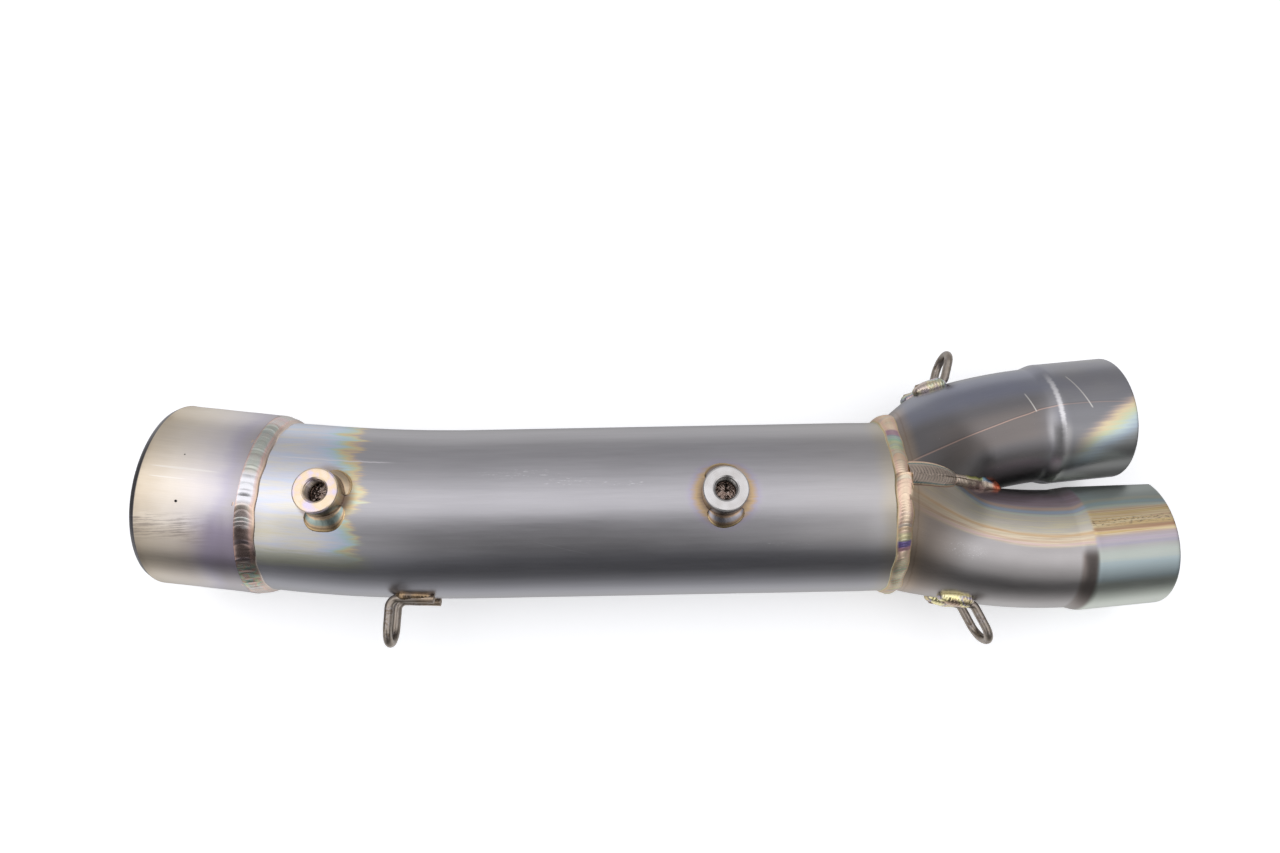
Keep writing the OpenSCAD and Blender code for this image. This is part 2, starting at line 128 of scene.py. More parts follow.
class Skin:
    """Grids of points that become one closed mesh. Corners carry along, around and edge for the paint."""

    def __init__(self):
        self.points, self.faces, self.corners, self.count = [], [], [], 0

    def grid(self, points, along=0.0, around=0.0, edge=0.0, wrap=False):
        """points is rows x columns x 3; with wrap, the last column of along, around and edge is one more."""
        rows, columns = points.shape[:2]
        wide = columns + 1 if wrap else columns
        values = [np.broadcast_to(np.asarray(v, float), (rows, wide)) for v in (along, around, edge)]
        i, j = np.meshgrid(np.arange(rows - 1), np.arange(wide - 1), indexing="ij")
        i, j = i.ravel(), j.ravel()
        ring = [(i, j), (i + 1, j), (i + 1, j + 1), (i, j + 1)]
        index = np.stack([self.count + a * columns + b % columns for a, b in ring], -1)
        self.faces.append(index)
        self.corners.append(np.stack([np.stack([v[a, b] for a, b in ring], -1) for v in values], -1))
        self.points.append(points.reshape(-1, 3))
        self.count += rows * columns
        return self

    def build(self, name, material, sharp_deg=40):
        points = (np.concatenate(self.points) + SHIFT) * MM
        faces = np.concatenate(self.faces)
        corners = np.concatenate(self.corners).reshape(-1, 3)
        mesh = bpy.data.meshes.new(name)
        mesh.from_pydata(points.tolist(), [], faces.tolist())
        for k, key in enumerate(("along", "around", "edge")):
            mesh.attributes.new(key, "FLOAT", "CORNER").data.foreach_set("value", corners[:, k].astype(np.float32))
        work = bmesh.new()
        work.from_mesh(mesh)
        bmesh.ops.remove_doubles(work, verts=work.verts, dist=2e-6)
        bmesh.ops.dissolve_degenerate(work, edges=work.edges, dist=1e-7)
        bmesh.ops.recalc_face_normals(work, faces=work.faces)
        work.to_mesh(mesh)
        work.free()
        mesh.shade_smooth()
        mesh.set_sharp_from_angle(angle=math.radians(sharp_deg))
        piece = bpy.data.objects.new(name, mesh)
        bpy.context.scene.collection.objects.link(piece)
        mesh.materials.append(material)
        return piece


def turned(profile, place, columns, skin=None, along=None):
    """Turns a profile of (axial, radius) round an axis; place(axial, degrees, radius) gives the points."""
    skin = skin or Skin()
    degrees = np.linspace(-180, 180, columns + 1)
    axial = np.array([p[0] for p in profile])[:, None]
    radius = np.array([p[1] for p in profile])[:, None]
    points = place(axial + 0 * degrees[:-1], degrees[:-1] + 0 * axial, radius + 0 * degrees[:-1])
    skin.grid(points, along=axial, around=degrees[None, :], edge=radius, wrap=True)
    return skin


# ---------------------------------------------------------------- main tube
def main_point(back, degrees, radius):
    """Distance back from the joint, angle round from the top towards the rear, and radius."""
    turn = np.clip((back - STRAIGHT) / BEND_R, 0, BEND)
    beyond = np.maximum(back - BEND_END, 0)
    x = -np.minimum(back, STRAIGHT) - BEND_R * np.sin(turn) - beyond * np.cos(turn)
    y = BEND_R * (1 - np.cos(turn)) + beyond * np.sin(turn)
    out = radius * np.sin(np.radians(degrees))
    return np.stack([x + out * np.sin(turn), y + out * np.cos(turn),
                     AXIS_Z + radius * np.cos(np.radians(degrees))], -1)


def main_tube(material):
    end = BEND_END + SLEEVE_ENGAGE
    rows = np.linspace(0.0, end, 240)

    def place(back, degrees, radius):
        dip = 0.12 * np.exp(-((back - BEND_END + 7) / 5) ** 2) + 0.10 * np.exp(-((back - 6) / 4) ** 2)
        wave = 0.05 * wobble(back, 3, 40) * np.sin(np.radians(degrees * 2 + 30))
        return main_point(back, degrees, radius - dip + wave)

    outside = [(b, MAIN_R) for b in rows]
    inside = [(b, MAIN_R - MAIN_WALL) for b in rows[::-3]]
    return turned(outside + inside + outside[:1], place, 224).build("main_tube", material)


def sleeve(material):
    """The slip sleeve: profile from the weld end out to the mouth, in, and back along the bore."""
    mouth = BEND_END + SLEEVE_LENGTH
    collar = mouth - SLEEVE_DEPTH
    outer = [(b, SLEEVE_R) for b in np.linspace(BEND_END, mouth - 2.2, 60)]
    lip = [(mouth - 1.9, SLEEVE_R - 0.04), (mouth - 1.6, SLEEVE_R - 0.14), (mouth - 0.3, SLEEVE_R - 0.86),
           (mouth - 0.1, SLEEVE_R - 1.0), (mouth, SLEEVE_R - 1.15), (mouth - 0.05, SLEEVE_BORE_R + 0.2),
           (mouth - 0.3, SLEEVE_BORE_R)]
    bore = [(b, SLEEVE_BORE_R) for b in np.linspace(mouth - 1, collar, 24)]
    step = [(collar - 0.3, MAIN_R - MAIN_WALL), (BEND_END + SLEEVE_ENGAGE, MAIN_R - MAIN_WALL),
            (BEND_END + SLEEVE_ENGAGE, MAIN_R), (BEND_END, MAIN_R), (BEND_END, SLEEVE_R)]

    def place(back, degrees, radius):
        wave = 0.10 * wobble(back, 5, 30) * np.sin(np.radians(degrees * 3 + 60))
        rub = 0.05 * np.exp(-((degrees + 27) / 8) ** 2) * np.clip(wobble(back, 6, 9), -0.3, 1)
        keep = smooth(mouth - back, 0.5, 4) * smooth(back - BEND_END, 0.5, 4) * (radius > SLEEVE_R - 0.01)
        return main_point(back, degrees, radius - keep * (0.08 + wave * 0.5 + rub * 0.5))

    return turned(outer + lip + bore + step, place, 288).build("outlet_sleeve_skin", material)


# ---------------------------------------------------------------- legs
class Leg:
    """One inlet leg. Its own frame: origin at the elbow, X towards the mouth, Y outwards, as in the solids."""

    def __init__(self, elbow, roll_deg, yaw_deg, run, step, side):
        height = SOCKET_R * math.cos(FALL) + run * math.sin(FALL)
        self.elbow = np.array([elbow[0], elbow[1] * side, height])
        self.side, self.run, self.step = side, run, step
        self.frame = turn_z(math.radians(yaw_deg)) @ turn_y(FALL) @ turn_x(math.radians(roll_deg * -side))
        self.roll = roll_deg
        back = math.asin((elbow[0] - FLARE_LENGTH) / LEG_BEND_R)
        self.flare_root = np.array([0.0, 0.0, AXIS_Z])
        self.flare_tip = self.axis(np.array([-LEG_BEND_R * back]))[0][0]

    def way(self, v):
        return (np.asarray(v, float) * np.array([1, self.side, 1])) @ self.frame.T

    def local(self, p):
        return ((p - self.elbow) @ self.frame) * np.array([1, self.side, 1])

    def axis(self, t):
        """Point and direction on the centre line; t is negative on the bend."""
        a = np.clip(-t, 0, None) / LEG_BEND_R
        ahead = np.clip(t, 0, None)
        point = np.stack([ahead - LEG_BEND_R * np.sin(a), -LEG_BEND_R * (1 - np.cos(a)), 0 * a], -1)
        along = np.stack([np.cos(a), np.sin(a), 0 * a], -1)
        out = np.stack([-np.sin(a), np.cos(a), 0 * a], -1)
        return self.elbow + self.way(point), self.way(along), self.way(out)

    def radius(self, t):
        grow = smooth(t, self.step - 0.4, self.step + SOCKET_STEP + 0.4)
        ridge = 0.05 * np.exp(-((t - self.step - SOCKET_STEP) / 1.6) ** 2)
        return LEG_R + (SOCKET_R - LEG_R) * grow + ridge

    def solid(self, p, wall=0.0):
        """Below zero inside the leg: bent tube and flare run into each other, trimmed at the shoulder."""
        q = self.local(p)
        bend_d = np.hypot(np.hypot(q[..., 0], q[..., 1] + LEG_BEND_R) - LEG_BEND_R, q[..., 2])
        run_d = np.hypot(q[..., 1], q[..., 2])
        tube = np.where(q[..., 0] < 0, bend_d, run_d) - self.radius(q[..., 0])
        way = self.flare_tip - self.flare_root
        length = np.linalg.norm(way)
        way = way / length
        rel = p - self.flare_root
        h = rel @ way
        off = np.linalg.norm(rel - h[..., None] * way, axis=-1)
        beyond = np.maximum(h - 0.8 * length, 0)
        cone_r = MAIN_R + (LEG_R - 1.0 - MAIN_R) * h / length - 0.035 * beyond ** 2
        joined = smooth_min(tube, off - cone_r, 4.0)
        from_axis = np.hypot(p[..., 1], p[..., 2] - AXIS_Z)
        x = np.maximum(p[..., 0], 0)
        shoulder = (from_axis - MAIN_R - x * math.tan(SHOULDER_SLOPE)) * math.cos(SHOULDER_SLOPE)
        blend = 0.02 + 2.4 * smooth(x, 1, 10)
        return -smooth_min(-joined, -shoulder, blend) + wall


SMOOTHING = 90


def smooth_min(a, b, k):
    h = np.clip(0.5 + 0.5 * (b - a) / k, 0, 1)
    return b * (1 - h) + a * h - k * h * (1 - h)


def reach(solid, start, way, far):
    """How far from start along way the solid goes on, by halving."""
    near, far = np.zeros(start.shape[:-1]), np.full(start.shape[:-1], float(far))
    for _ in range(26):
        middle = (near + far) / 2
        inside = solid(start + middle[..., None] * way) < 0
        near, far = np.where(inside, middle, near), np.where(inside, far, middle)
    return near


# The swage of a socket begins on the last of the bend, as in the photo
REAR = Leg((63.5, 31.4), 17, 5.4, 25.3, -6.0, 1)
FRONT = Leg((71.5, 14.8), 13, 4.6, 24.6, -9.0, -1)
for leg in (REAR, FRONT):
    leg.name = "inlet_pipe_rear" if leg.side > 0 else "inlet_pipe_front"


def leg_sections(leg, columns=216):
    """Centres, section planes and open angles of a leg from the joint to the mouth."""
    steps = np.linspace(-90, 0, 1801)
    start = steps[np.argmin(np.abs(leg.axis(steps)[0][:, 0]))]
    t = np.concatenate([np.linspace(start, leg.step - 1.6, 92), np.linspace(leg.step - 1.2, leg.step + 7, 36),
                        np.linspace(leg.step + 7.6, leg.run - 0.5, 30)])
    centre, along, out = leg.axis(t)
    centre[0, 0] = 0.0
    share = smooth(centre[:, 0], 0, 26)[:, None]
    normal = unit((1 - share) * np.array([1.0, 0, 0]) + share * along)
    out = unit(out - (out * normal).sum(-1, keepdims=True) * normal)
    up = np.cross(normal, out) * leg.side
    middle = -90 + leg.roll * -1.0
    return t, centre, normal, out, up, middle, columns


def leg_rows(leg, wall):
    """Points of one skin of a leg: all round where it stands free, up to the mitre plane where it doesn't."""
    t, centre, normal, out, up, middle, columns = leg_sections(leg)
    ways, radii, planes, degrees_of = [], [], [], []
    for k in range(len(t)):
        def rays(degrees):
            a = np.radians(degrees)[:, None]
            way = np.cos(a) * up[k] + np.sin(a) * out[k]
            own = reach(lambda p: leg.solid(p, wall), np.broadcast_to(centre[k], way.shape), way, 60)
            towards = way[:, 1] * leg.side
            plane = np.where(towards < -1e-6, (MITRE_Y - centre[k, 1]) * leg.side / np.where(towards < -1e-6, towards, -1), 1e9)
            return way, own, plane

        ends = []
        for sign in (1, -1):
            scan = middle + sign * np.linspace(0, 120, 481)
            way, own, plane = rays(scan)
            cut = own > plane
            last = np.nonzero(cut)[0].max() if cut[0] else -1
            if last < 0:
                ends.append(middle)
            else:
                a, b = (own - plane)[last], (own - plane)[last + 1]
                ends.append(scan[last] + (scan[last + 1] - scan[last]) * a / (a - b))
        degrees = np.linspace(ends[0], ends[1] + 360, columns + 1)
        way, own, plane = rays(degrees)
        ways.append(way), radii.append(own), planes.append(plane), degrees_of.append(degrees)
    ways, radii, planes = np.array(ways), np.array(radii), np.array(planes)
    # the blend behind the collector is rounded off; the ring, the mitre and the socket stay as they are
    x = centre[:, 0]
    hold = (smooth(x, 2, 9) * (1 - smooth(x, 42, 52)))[:, None]
    column = np.arange(columns + 1)
    hold = hold * smooth(np.minimum(column, columns - column), 0, 14)[None, :]
    for _ in range(SMOOTHING):
        near = (radii[:-2, 1:-1] + radii[2:, 1:-1] + radii[1:-1, :-2] + radii[1:-1, 2:]) / 4
        radii[1:-1, 1:-1] += hold[1:-1, 1:-1] * 0.8 * (near - radii[1:-1, 1:-1])
    points = centre[:, None] + np.minimum(radii, planes)[..., None] * ways
    return t, points, np.array(degrees_of)


def leg_skin(leg, material):
    """Outer and inner skin, the rounded mouth, the joint's end ring and the mitre's edges."""
    t, outer, around = leg_rows(leg, 0.0)
    _, inner, inner_around = leg_rows(leg, LEG_WALL)
    direction = leg.way([1, 0, 0])
    along = t[:, None] + 0 * around
    skin = Skin()
    skin.grid(outer, along, around, 0.0)
    skin.grid(inner, along, inner_around, 1.0)
    lips = []
    for ahead, inwards in ((0.0, 0.0), (0.28, 0.04), (0.44, 0.16), (0.5, 0.36), (0.5, LEG_WALL - 0.3),
                           (0.42, LEG_WALL - 0.1), (0.0, LEG_WALL)):
        share = inwards / LEG_WALL
        lips.append(outer[-1] * (1 - share) + inner[-1] * share + ahead * direction)
    lips = np.array(lips)
    skin.grid(lips, leg.run, around[-1][None, :], 0.5)
    skin.grid(np.array([outer[0], inner[0]]), 0.0, around[0][None, :], 1.0)
    for column in (0, -1):
        skin.grid(np.stack([outer[:, column], inner[:, column]], 1), 0.0, 0.0, 1.0)
    return skin.build(leg.name + "_skin", material)


# ---------------------------------------------------------------- weld beads
def bead_section(across, crown):
    """Height of a bead over its chord."""
    return crown * (1 - np.abs(across) ** 2.2)


def ripple(distance, across, pitch, lag):
    """Scales left by a travelling puddle: rounded steps that bow back from the middle."""
    phase = (distance - lag * (1 - across ** 2)) / pitch
    saw = phase - np.floor(phase)
    return np.where(saw < 0.75, saw / 0.75, (1 - saw) / 0.25)


def ring_bead(name, material, columns, toe_a, toe_b, crown, pitch, lag, height, place, seed, loose, lumps=0.0):
    """A bead round a tube. toe_a and toe_b give (axial, radius) of its two edges at each angle."""
    degrees = np.linspace(-180, 180, columns + 1)
    share = degrees / 360
    distance = np.radians(degrees) * MAIN_R
    girth = 2 * math.pi * MAIN_R
    pitch = girth / round(girth / pitch)
    a_axial, a_radius = toe_a(degrees)
    b_axial, b_radius = toe_b(degrees)
    a_axial = a_axial + loose * 0.24 * closed_wobble(share, seed, 12)
    b_axial = b_axial + loose * 0.24 * closed_wobble(share, seed + 1, 12)
    across = np.linspace(-1, 1, 25)[:, None]
    mix = (across + 1) / 2
    axial = a_axial * (1 - mix) + b_axial * mix
    radius = a_radius * (1 - mix) + b_radius * mix
    swell = 1 + 0.16 * loose * closed_wobble(share, seed + 2, 20)
    warp = distance + pitch * 0.6 * closed_wobble(share, seed + 3, 16)
    scales = ripple(warp, across, pitch, lag) * (1 - across ** 4)
    phase = (warp - lag * (1 - across ** 2)) / pitch
    top = radius + bead_section(across, crown * swell) + height * (scales - 0.5) * (1 - across ** 2)
    top = top + lumps * crown * np.clip(closed_wobble(share, seed + 4, 26), 0, 2) * (1 - across ** 2) ** 2
    top[0], top[-1] = top[0] - 0.35, top[-1] - 0.35
    full = degrees[None, :]
    skin = Skin()
    body = place(axial, degrees + 0 * axial, top)[:, :-1]
    skin.grid(body, along=across, around=full, edge=phase, wrap=True)
    under = np.linspace(0, 1, 7)[:, None]
    under_axial = axial[-1] * (1 - under) + axial[0] * under
    under_radius = top[-1] * (1 - under) + top[0] * under - 1.0 * np.sin(np.pi * under)
    lower = place(under_axial, degrees + 0 * under_axial, under_radius)[:, :-1]
    skin.grid(lower, along=2.0, around=full, edge=0.0, wrap=True)
    return skin.build(name, material, 70)


def union_radius(x):
    """Radius of the two legs together from the main axis at plane x, for the ring bead's toe."""
    def at(degrees):
        a = np.radians(degrees)
        way = np.stack([0 * a, np.sin(a), np.cos(a)], -1)
        start = np.broadcast_to(np.array([x, 0.0, AXIS_Z]), way.shape)

        def both(p):
            return np.where(p[..., 1] > MITRE_Y, REAR.solid(p), FRONT.solid(p))
        return reach(both, start, way, 60)
    return at


def collector_bead(material):
    half = 3.1
    right = union_radius(half)

    def place(axial, degrees, radius):
        a = np.radians(degrees)
        return np.stack([axial, radius * np.sin(a), AXIS_Z + radius * np.cos(a)], -1)

    return ring_bead("weld_ring_collector", material, 1440,
                     lambda d: (-half + 0 * d, MAIN_R - 0.02 + 0 * d), lambda d: (half + 0 * d, right(d) - 0.05),
                     1.15, 1.25, 1.5, 0.10, place, 21, 1.0)


def sleeve_bead(material):
    return ring_bead("weld_ring_sleeve", material, 1260,
                     lambda d: (BEND_END + 1.4 + 0 * d, SLEEVE_R - 0.02 + 0 * d),
                     lambda d: (BEND_END - 6.2 + 0 * d, MAIN_R - 0.02 + 0 * d),
                     0.5, 2.4, 3.0, 0.07, main_point, 41, 0.6, 0.25)


def crease_height(x, y, up):
    """Height of the legs' skin over or under the point (x, y)."""
    leg_of = y > MITRE_Y
    level = np.where(leg_of, np.interp(x, *axis_line(REAR)), np.interp(x, *axis_line(FRONT)))
    start = np.stack([x, y, level], -1)
    way = np.broadcast_to(np.array([0, 0, 1.0 if up else -1.0]), start.shape)

    def both(p):
        return np.where(p[..., 1] > MITRE_Y, REAR.solid(p), FRONT.solid(p))
    return level + (1 if up else -1) * reach(both, start, way, 60)


def axis_line(leg):
    t = np.linspace(-72, leg.run, 200)
    points = leg.axis(t)[0]
    return points[:, 0], points[:, 2]


CROTCH_END = 42.8


def crotch_bead(name, material, up, seed):
    """Puddle behind the ring, then a string of scales down the valley between the legs."""
    x = np.concatenate([np.linspace(2.5, 21.4, 150), np.linspace(21.5, CROTCH_END, 190)])
    across = np.linspace(-1, 1, 29)
    puddle = 4.7 * np.sqrt(np.clip(1 - ((x - 2) / 19.5) ** 3, 0, 1))
    string = 2.0 + 0.25 * wobble(x, seed, 5)
    half = np.where(x < 20.5, np.maximum(puddle, string * smooth(x, 14, 21)), string)
    half = half * np.sqrt(np.clip((CROTCH_END + 0.1 - x) / 3.0, 0, 1))
    middle = MITRE_Y + 0.3 * wobble(x, seed + 1, 20)
    X, V = np.meshgrid(x, across, indexing="ij")
    Y = middle[:, None] + V * half[:, None]
    surface = crease_height(X, Y, up)
    sign = 1 if up else -1
    lift = surface * sign
    chord = lift[:, :1] * (1 - (V + 1) / 2) + lift[:, -1:] * (V + 1) / 2
    length = np.concatenate([[0], np.cumsum(np.hypot(np.diff(x), np.diff(lift[:, 14])))])
    crown = np.where(x < 20.5, 0.75, 0.95)[:, None] * (1 - np.abs(V) ** 2.4)
    in_puddle = (x < 20.8)[:, None]
    scales = np.where(in_puddle, 0.07 * ripple(length[:, None], V, 1.25, 3.2), 0.34 * ripple(length[:, None], V, 0.95, 0.7))
    rise = np.maximum(chord, lift) + crown + scales * (1 - V ** 4)
    rise[:, 0], rise[:, -1] = lift[:, 0] - 0.3, lift[:, -1] - 0.3
    rise[0], rise[-1] = lift[0] - 0.3, lift[-1] - 0.3
    below = np.minimum(lift - 0.3, rise) - 0.9 * (1 - V ** 2) * np.minimum(1, np.minimum(X - x[0], x[-1] - X))
    skin = Skin()
    phase = (length[:, None] - np.where(in_puddle, 3.2, 0.7) * (1 - V ** 2)) / np.where(in_puddle, 1.25, 0.95)
    skin.grid(np.stack([X, Y, rise * sign], -1), along=X, around=V, edge=phase)
    skin.grid(np.stack([X, Y, below * sign], -1), along=X, around=V, edge=0.0)
    return skin.build(name, material, 70)


def boss_patch(skin, centre, start, sweep, reach_out, climb, cool, seed):
    """A fillet of weld metal round part of a boss; angles run from +X towards +Y."""
    a = np.linspace(0, 1, 150)[:, None]
    v = np.linspace(0, 1, 22)[None, :]
    taper = np.sin(np.pi * a) ** 0.45
    angle = np.radians(start + sweep * a)
    wide = reach_out * taper * (1 + 0.07 * wobble(a * 3, seed, 2.5, 3)) + 0.05
    tall = climb * taper + 0.05
    radial = BOSS_R - 0.15 + wide * v ** 1.15
    x = centre[0] + radial * np.cos(angle)
    y = centre[1] + radial * np.sin(angle)
    across_tube = (y - centre[1]) * 1.0
    ground = AXIS_Z + np.sqrt(np.maximum(MAIN_R ** 2 - across_tube ** 2, 0))
    rise = tall * (1 - v) ** 1.6 + 0.55 * taper * np.sin(np.pi * v) ** 0.8
    distance = sweep / 57.3 * BOSS_R * a
    rise = rise + 0.012 * ripple(distance, 2 * v - 1, 1.6, 1.6) * taper * np.sin(np.pi * v)
    top = ground + rise
    top[:, -1] = ground[:, -1] - 0.25
    top[0], top[-1] = ground[0] - 0.25, ground[-1] - 0.25
    along = distance + 0 * v
    skin.grid(np.stack([x, y, top], -1), along=along, around=v + 0 * a, edge=cool)
    low = np.minimum(ground - 0.25 - 0.5 * np.sin(np.pi * v) * taper, top)
    skin.grid(np.stack([x, y, low], -1), along=along, around=v + 0 * a, edge=2.0)
    skin.grid(np.stack([np.stack([x[:, 0], y[:, 0], top[:, 0]], -1), np.stack([x[:, 0], y[:, 0], low[:, 0]], -1)], 1),
              along=0.0, around=0.0, edge=2.0)


# ---------------------------------------------------------------- bosses
def boss_centre(at_outlet):
    point = main_point(np.array(STRAIGHT + BOSS_OUTLET_AT if at_outlet else BOSS_INLET_AT), 0.0, 0.0)
    return point[:2]


def boss(name, material, centre, seed):
    """A turned boss with a cut thread: the wall of the hole follows the helix."""
    face = BOSS_FACE_Z
    foot = AXIS_Z + MAIN_R - 2.5
    pitch, crest, root = 1.25, BOSS_HOLE_R, BOSS_HOLE_R + 0.62
    degrees = np.linspace(-180, 180, 145)
    skin = Skin()

    def rows(profile, thread=False):
        z = np.array([p[0] for p in profile])[:, None]
        r = np.array([p[1] for p in profile])[:, None] + 0 * degrees[None, :-1]
        if thread:
            turn = (z - face) / pitch - degrees[None, :-1] / 360
            tooth = np.abs(2 * (turn - np.floor(turn + 0.5)))
            fade = smooth(face - z, 0.3, 1.0) * smooth(z - (face - BOSS_HOLE_DEPTH), 0.2, 1.4)
            r = crest + (root - crest) * np.clip(tooth * 1.25 - 0.1, 0, 1) * fade + np.maximum(r - crest, 0)
        a = np.radians(degrees[None, :-1])
        points = np.stack([centre[0] + r * np.cos(a), centre[1] + r * np.sin(a), z + 0 * r], -1)
        return points, z, np.concatenate([r, r[:, :1]], 1)

    wall = [(foot, BOSS_R), (face - 4, BOSS_R), (face - 0.62, BOSS_R), (face - 0.35, BOSS_R - 0.05),
            (face - 0.15, BOSS_R - 0.18), (face - 0.03, BOSS_R - 0.38), (face, BOSS_R - 0.6),
            (face, BOSS_R - 1.5), (face, BOSS_HOLE_R + 1.2), (face, BOSS_HOLE_R + 0.95), (face - 0.12, BOSS_HOLE_R + 0.78)]
    points, z, r = rows(wall)
    skin.grid(points, along=z, around=degrees[None, :], edge=r, wrap=True)
    hole = [(face - 0.12, BOSS_HOLE_R + 0.78)]
    hole += [(h, BOSS_HOLE_R + max(0.0, 0.72 - (face - h))) for h in np.linspace(face - 0.2, face - BOSS_HOLE_DEPTH, 110)]
    points, z, r = rows(hole, True)
    points[0] = rows(wall)[0][-1]
    skin.grid(points, along=z, around=degrees[None, :], edge=r, wrap=True)
    floor_r = np.linspace(1, 0, 12)[:, None] ** 0.9
    a = np.radians(degrees[None, :-1])
    bottom = face - BOSS_HOLE_DEPTH
    last = points[-1]
    rough = 0.16 * wobble(floor_r * 3 * np.cos(a) * 4 + 9, seed, 4) * wobble(floor_r * 3 * np.sin(a) * 4, seed + 1, 4)
    cx = np.array([centre[0], centre[1], bottom])
    floor_points = cx + (last[None] - cx) * floor_r[..., None]
    floor_points[..., 2] = bottom + rough * (floor_r < 0.97) * smooth(floor_r, 0, 0.15)
    skin.grid(floor_points, along=bottom, around=degrees[None, :], edge=floor_r * BOSS_HOLE_R, wrap=True)
    under = np.array([[BOSS_R], [0.0]])
    ends = np.stack([centre[0] + under * np.cos(a), centre[1] + under * np.sin(a), foot + 0 * under * a], -1)
    skin.grid(ends, along=foot, around=0.0, edge=0.0, wrap=True)
    return skin.build(name, material, 34)


# ---------------------------------------------------------------- spring hooks
def seat(r):
    return math.sqrt((r + WIRE_R - HOOK_SEAT) ** 2 - HOOK_HALF_GAP ** 2) - r


def hook_line(foot, arm, lean):
    """Centre line of a hook in its own frame, as in the solids: feet along -X, arms along Y leaning to X."""
    sweep = math.radians(90) - lean
    pieces = []
    bend = np.array([-HOOK_BEND_R, 0.0])
    for s in np.linspace(1, 0, 16):
        pieces.append(("foot", s))
    line = []
    c = np.linspace(-sweep, 0, 14)
    arc = np.stack([bend[0] + HOOK_BEND_R * np.cos(c), bend[1] + HOOK_BEND_R * np.sin(c)], -1)
    toe = np.array([-math.sin(sweep), -math.cos(sweep)])
    feet = arc[0] + np.linspace(foot, 0, 20)[:-1, None] * toe
    rise = np.stack([0 * np.linspace(0, arm, 8), np.linspace(0, arm, 8)], -1)[1:]
    side = np.concatenate([feet, arc, rise])
    one = np.concatenate([side, np.full((len(side), 1), -HOOK_HALF_GAP)], 1)
    a = np.linspace(-90, 90, 30)[1:-1]
    loop = np.stack([0 * a, arm + HOOK_HALF_GAP * np.cos(np.radians(a)), HOOK_HALF_GAP * np.sin(np.radians(a))], -1)
    two = one[::-1] * np.array([1, 1, -1])
    points = np.concatenate([one, loop, two])
    turn = turn_z(-lean)
    return points @ turn.T


def hook_frame_outlet(foot, at):
    """From the hook's tangent frame on the main tube to the joint frame."""
    middle = foot / 2
    a = (at - middle) / BEND_R

    def place(p):
        p = p + np.array([middle, MAIN_R + seat(MAIN_R) + HOOK_BEND_R, 0.0])
        p = p * np.array([1, -1, 1]) - np.array([0, BEND_R, 0])
        p = p @ turn_z(a).T + np.array([0, BEND_R, 0])
        p = p * np.array([-1, 1, 1])
        return p + np.array([-STRAIGHT, 0, AXIS_Z])
    return place


def hook_frame_leg(leg, foot, lean, at_deg, round_deg):
    drop = HOOK_BEND_R * (1 - math.sin(lean))

    def place(p):
        p = p + np.array([0, LEG_R + seat(LEG_R) + drop, 0])
        p = p @ turn_x(math.radians(round_deg)).T + np.array([foot / 2, LEG_BEND_R, 0])
        p = p @ turn_z(math.radians(at_deg)).T - np.array([0, LEG_BEND_R, 0])
        return leg.elbow + leg.way(p)
    return place


def wire(name, material, line, seed, square_end):
    """Round wire along a line. Its feet end blunt."""
    step = np.linalg.norm(np.diff(line, axis=0), axis=1)
    length = np.concatenate([[0], np.cumsum(step)])
    even = np.linspace(0, length[-1], 260)
    path = np.stack([np.interp(even, length, line[:, k]) for k in range(3)], -1)
    for _ in range(2):
        path[1:-1] = (path[:-2] + 2 * path[1:-1] + path[2:]) / 4
    tangent = unit(np.gradient(path, axis=0))
    side = np.zeros_like(path)
    side[0] = unit(np.cross(tangent[0], [0.0, 0.3, 1.0]))
    for k in range(1, len(path)):
        v = side[k - 1] - np.dot(side[k - 1], tangent[k]) * tangent[k]
        side[k] = v / np.linalg.norm(v)
    other = np.cross(tangent, side)
    degrees = np.linspace(0, 360, 33)
    a = np.radians(degrees[:-1])
    swell = 1 + 0.02 * wobble(even, seed, 6)
    end = np.minimum(even, even[-1] - even)
    blunt = np.sqrt(np.clip(end / (0.15 if square_end else 0.8), 0, 1) * 0.9 + 0.1)
    r = (WIRE_R * 0.985 * swell * blunt)[:, None, None]
    points = path[:, None] + r * (np.cos(a)[None, :, None] * side[:, None] + np.sin(a)[None, :, None] * other[:, None])
    skin = Skin()
    skin.grid(points, along=even[:, None], around=degrees[None, :], edge=end[:, None], wrap=True)
    for k in (0, -1):
        cap = np.stack([points[k], np.broadcast_to(path[k], points[k].shape)])
        skin.grid(cap, along=even[k], around=degrees[None, :], edge=0.0, wrap=True)
    return skin.build(name, material, 50)


def foot_weld(name, material, place, lean, length, seed, wide, tall):
    """Beads that tie both feet of a hook to the tube: low, rippled and rounded off at the ends."""
    back = HOOK_BEND_R * math.cos(lean)
    drop = HOOK_BEND_R * (1 - math.sin(lean))
    skin = Skin()
    for n, side in enumerate((-1, 1)):
        u = np.linspace(0, 1, 120)[:, None]
        a = np.linspace(0, 360, 49)[None, :-1]
        body = np.clip(1 - (2 * u - 1) ** 4, 0, 1) ** 0.5
        ripples = 1 + 0.03 * (ripple(u * length, np.cos(np.radians(a)), 1.15, 0.6) - 0.5)
        lumps = 1 + 0.05 * wobble(u * length, seed + n, 9)
        r = body * ripples * lumps * (1 - 0.25 * u)
        x = -back + 1.2 - length * u
        y = -drop - 1.1 + tall * r * np.sin(np.radians(a))
        z = side * HOOK_HALF_GAP + wide * r * np.cos(np.radians(a))
        full = np.linspace(0, 360, 49)[None, :]
        skin.grid(place(np.stack([x + 0 * a, y, z], -1)), along=u * length, around=full, edge=float(n), wrap=True)
    return skin.build(name, material, 70)


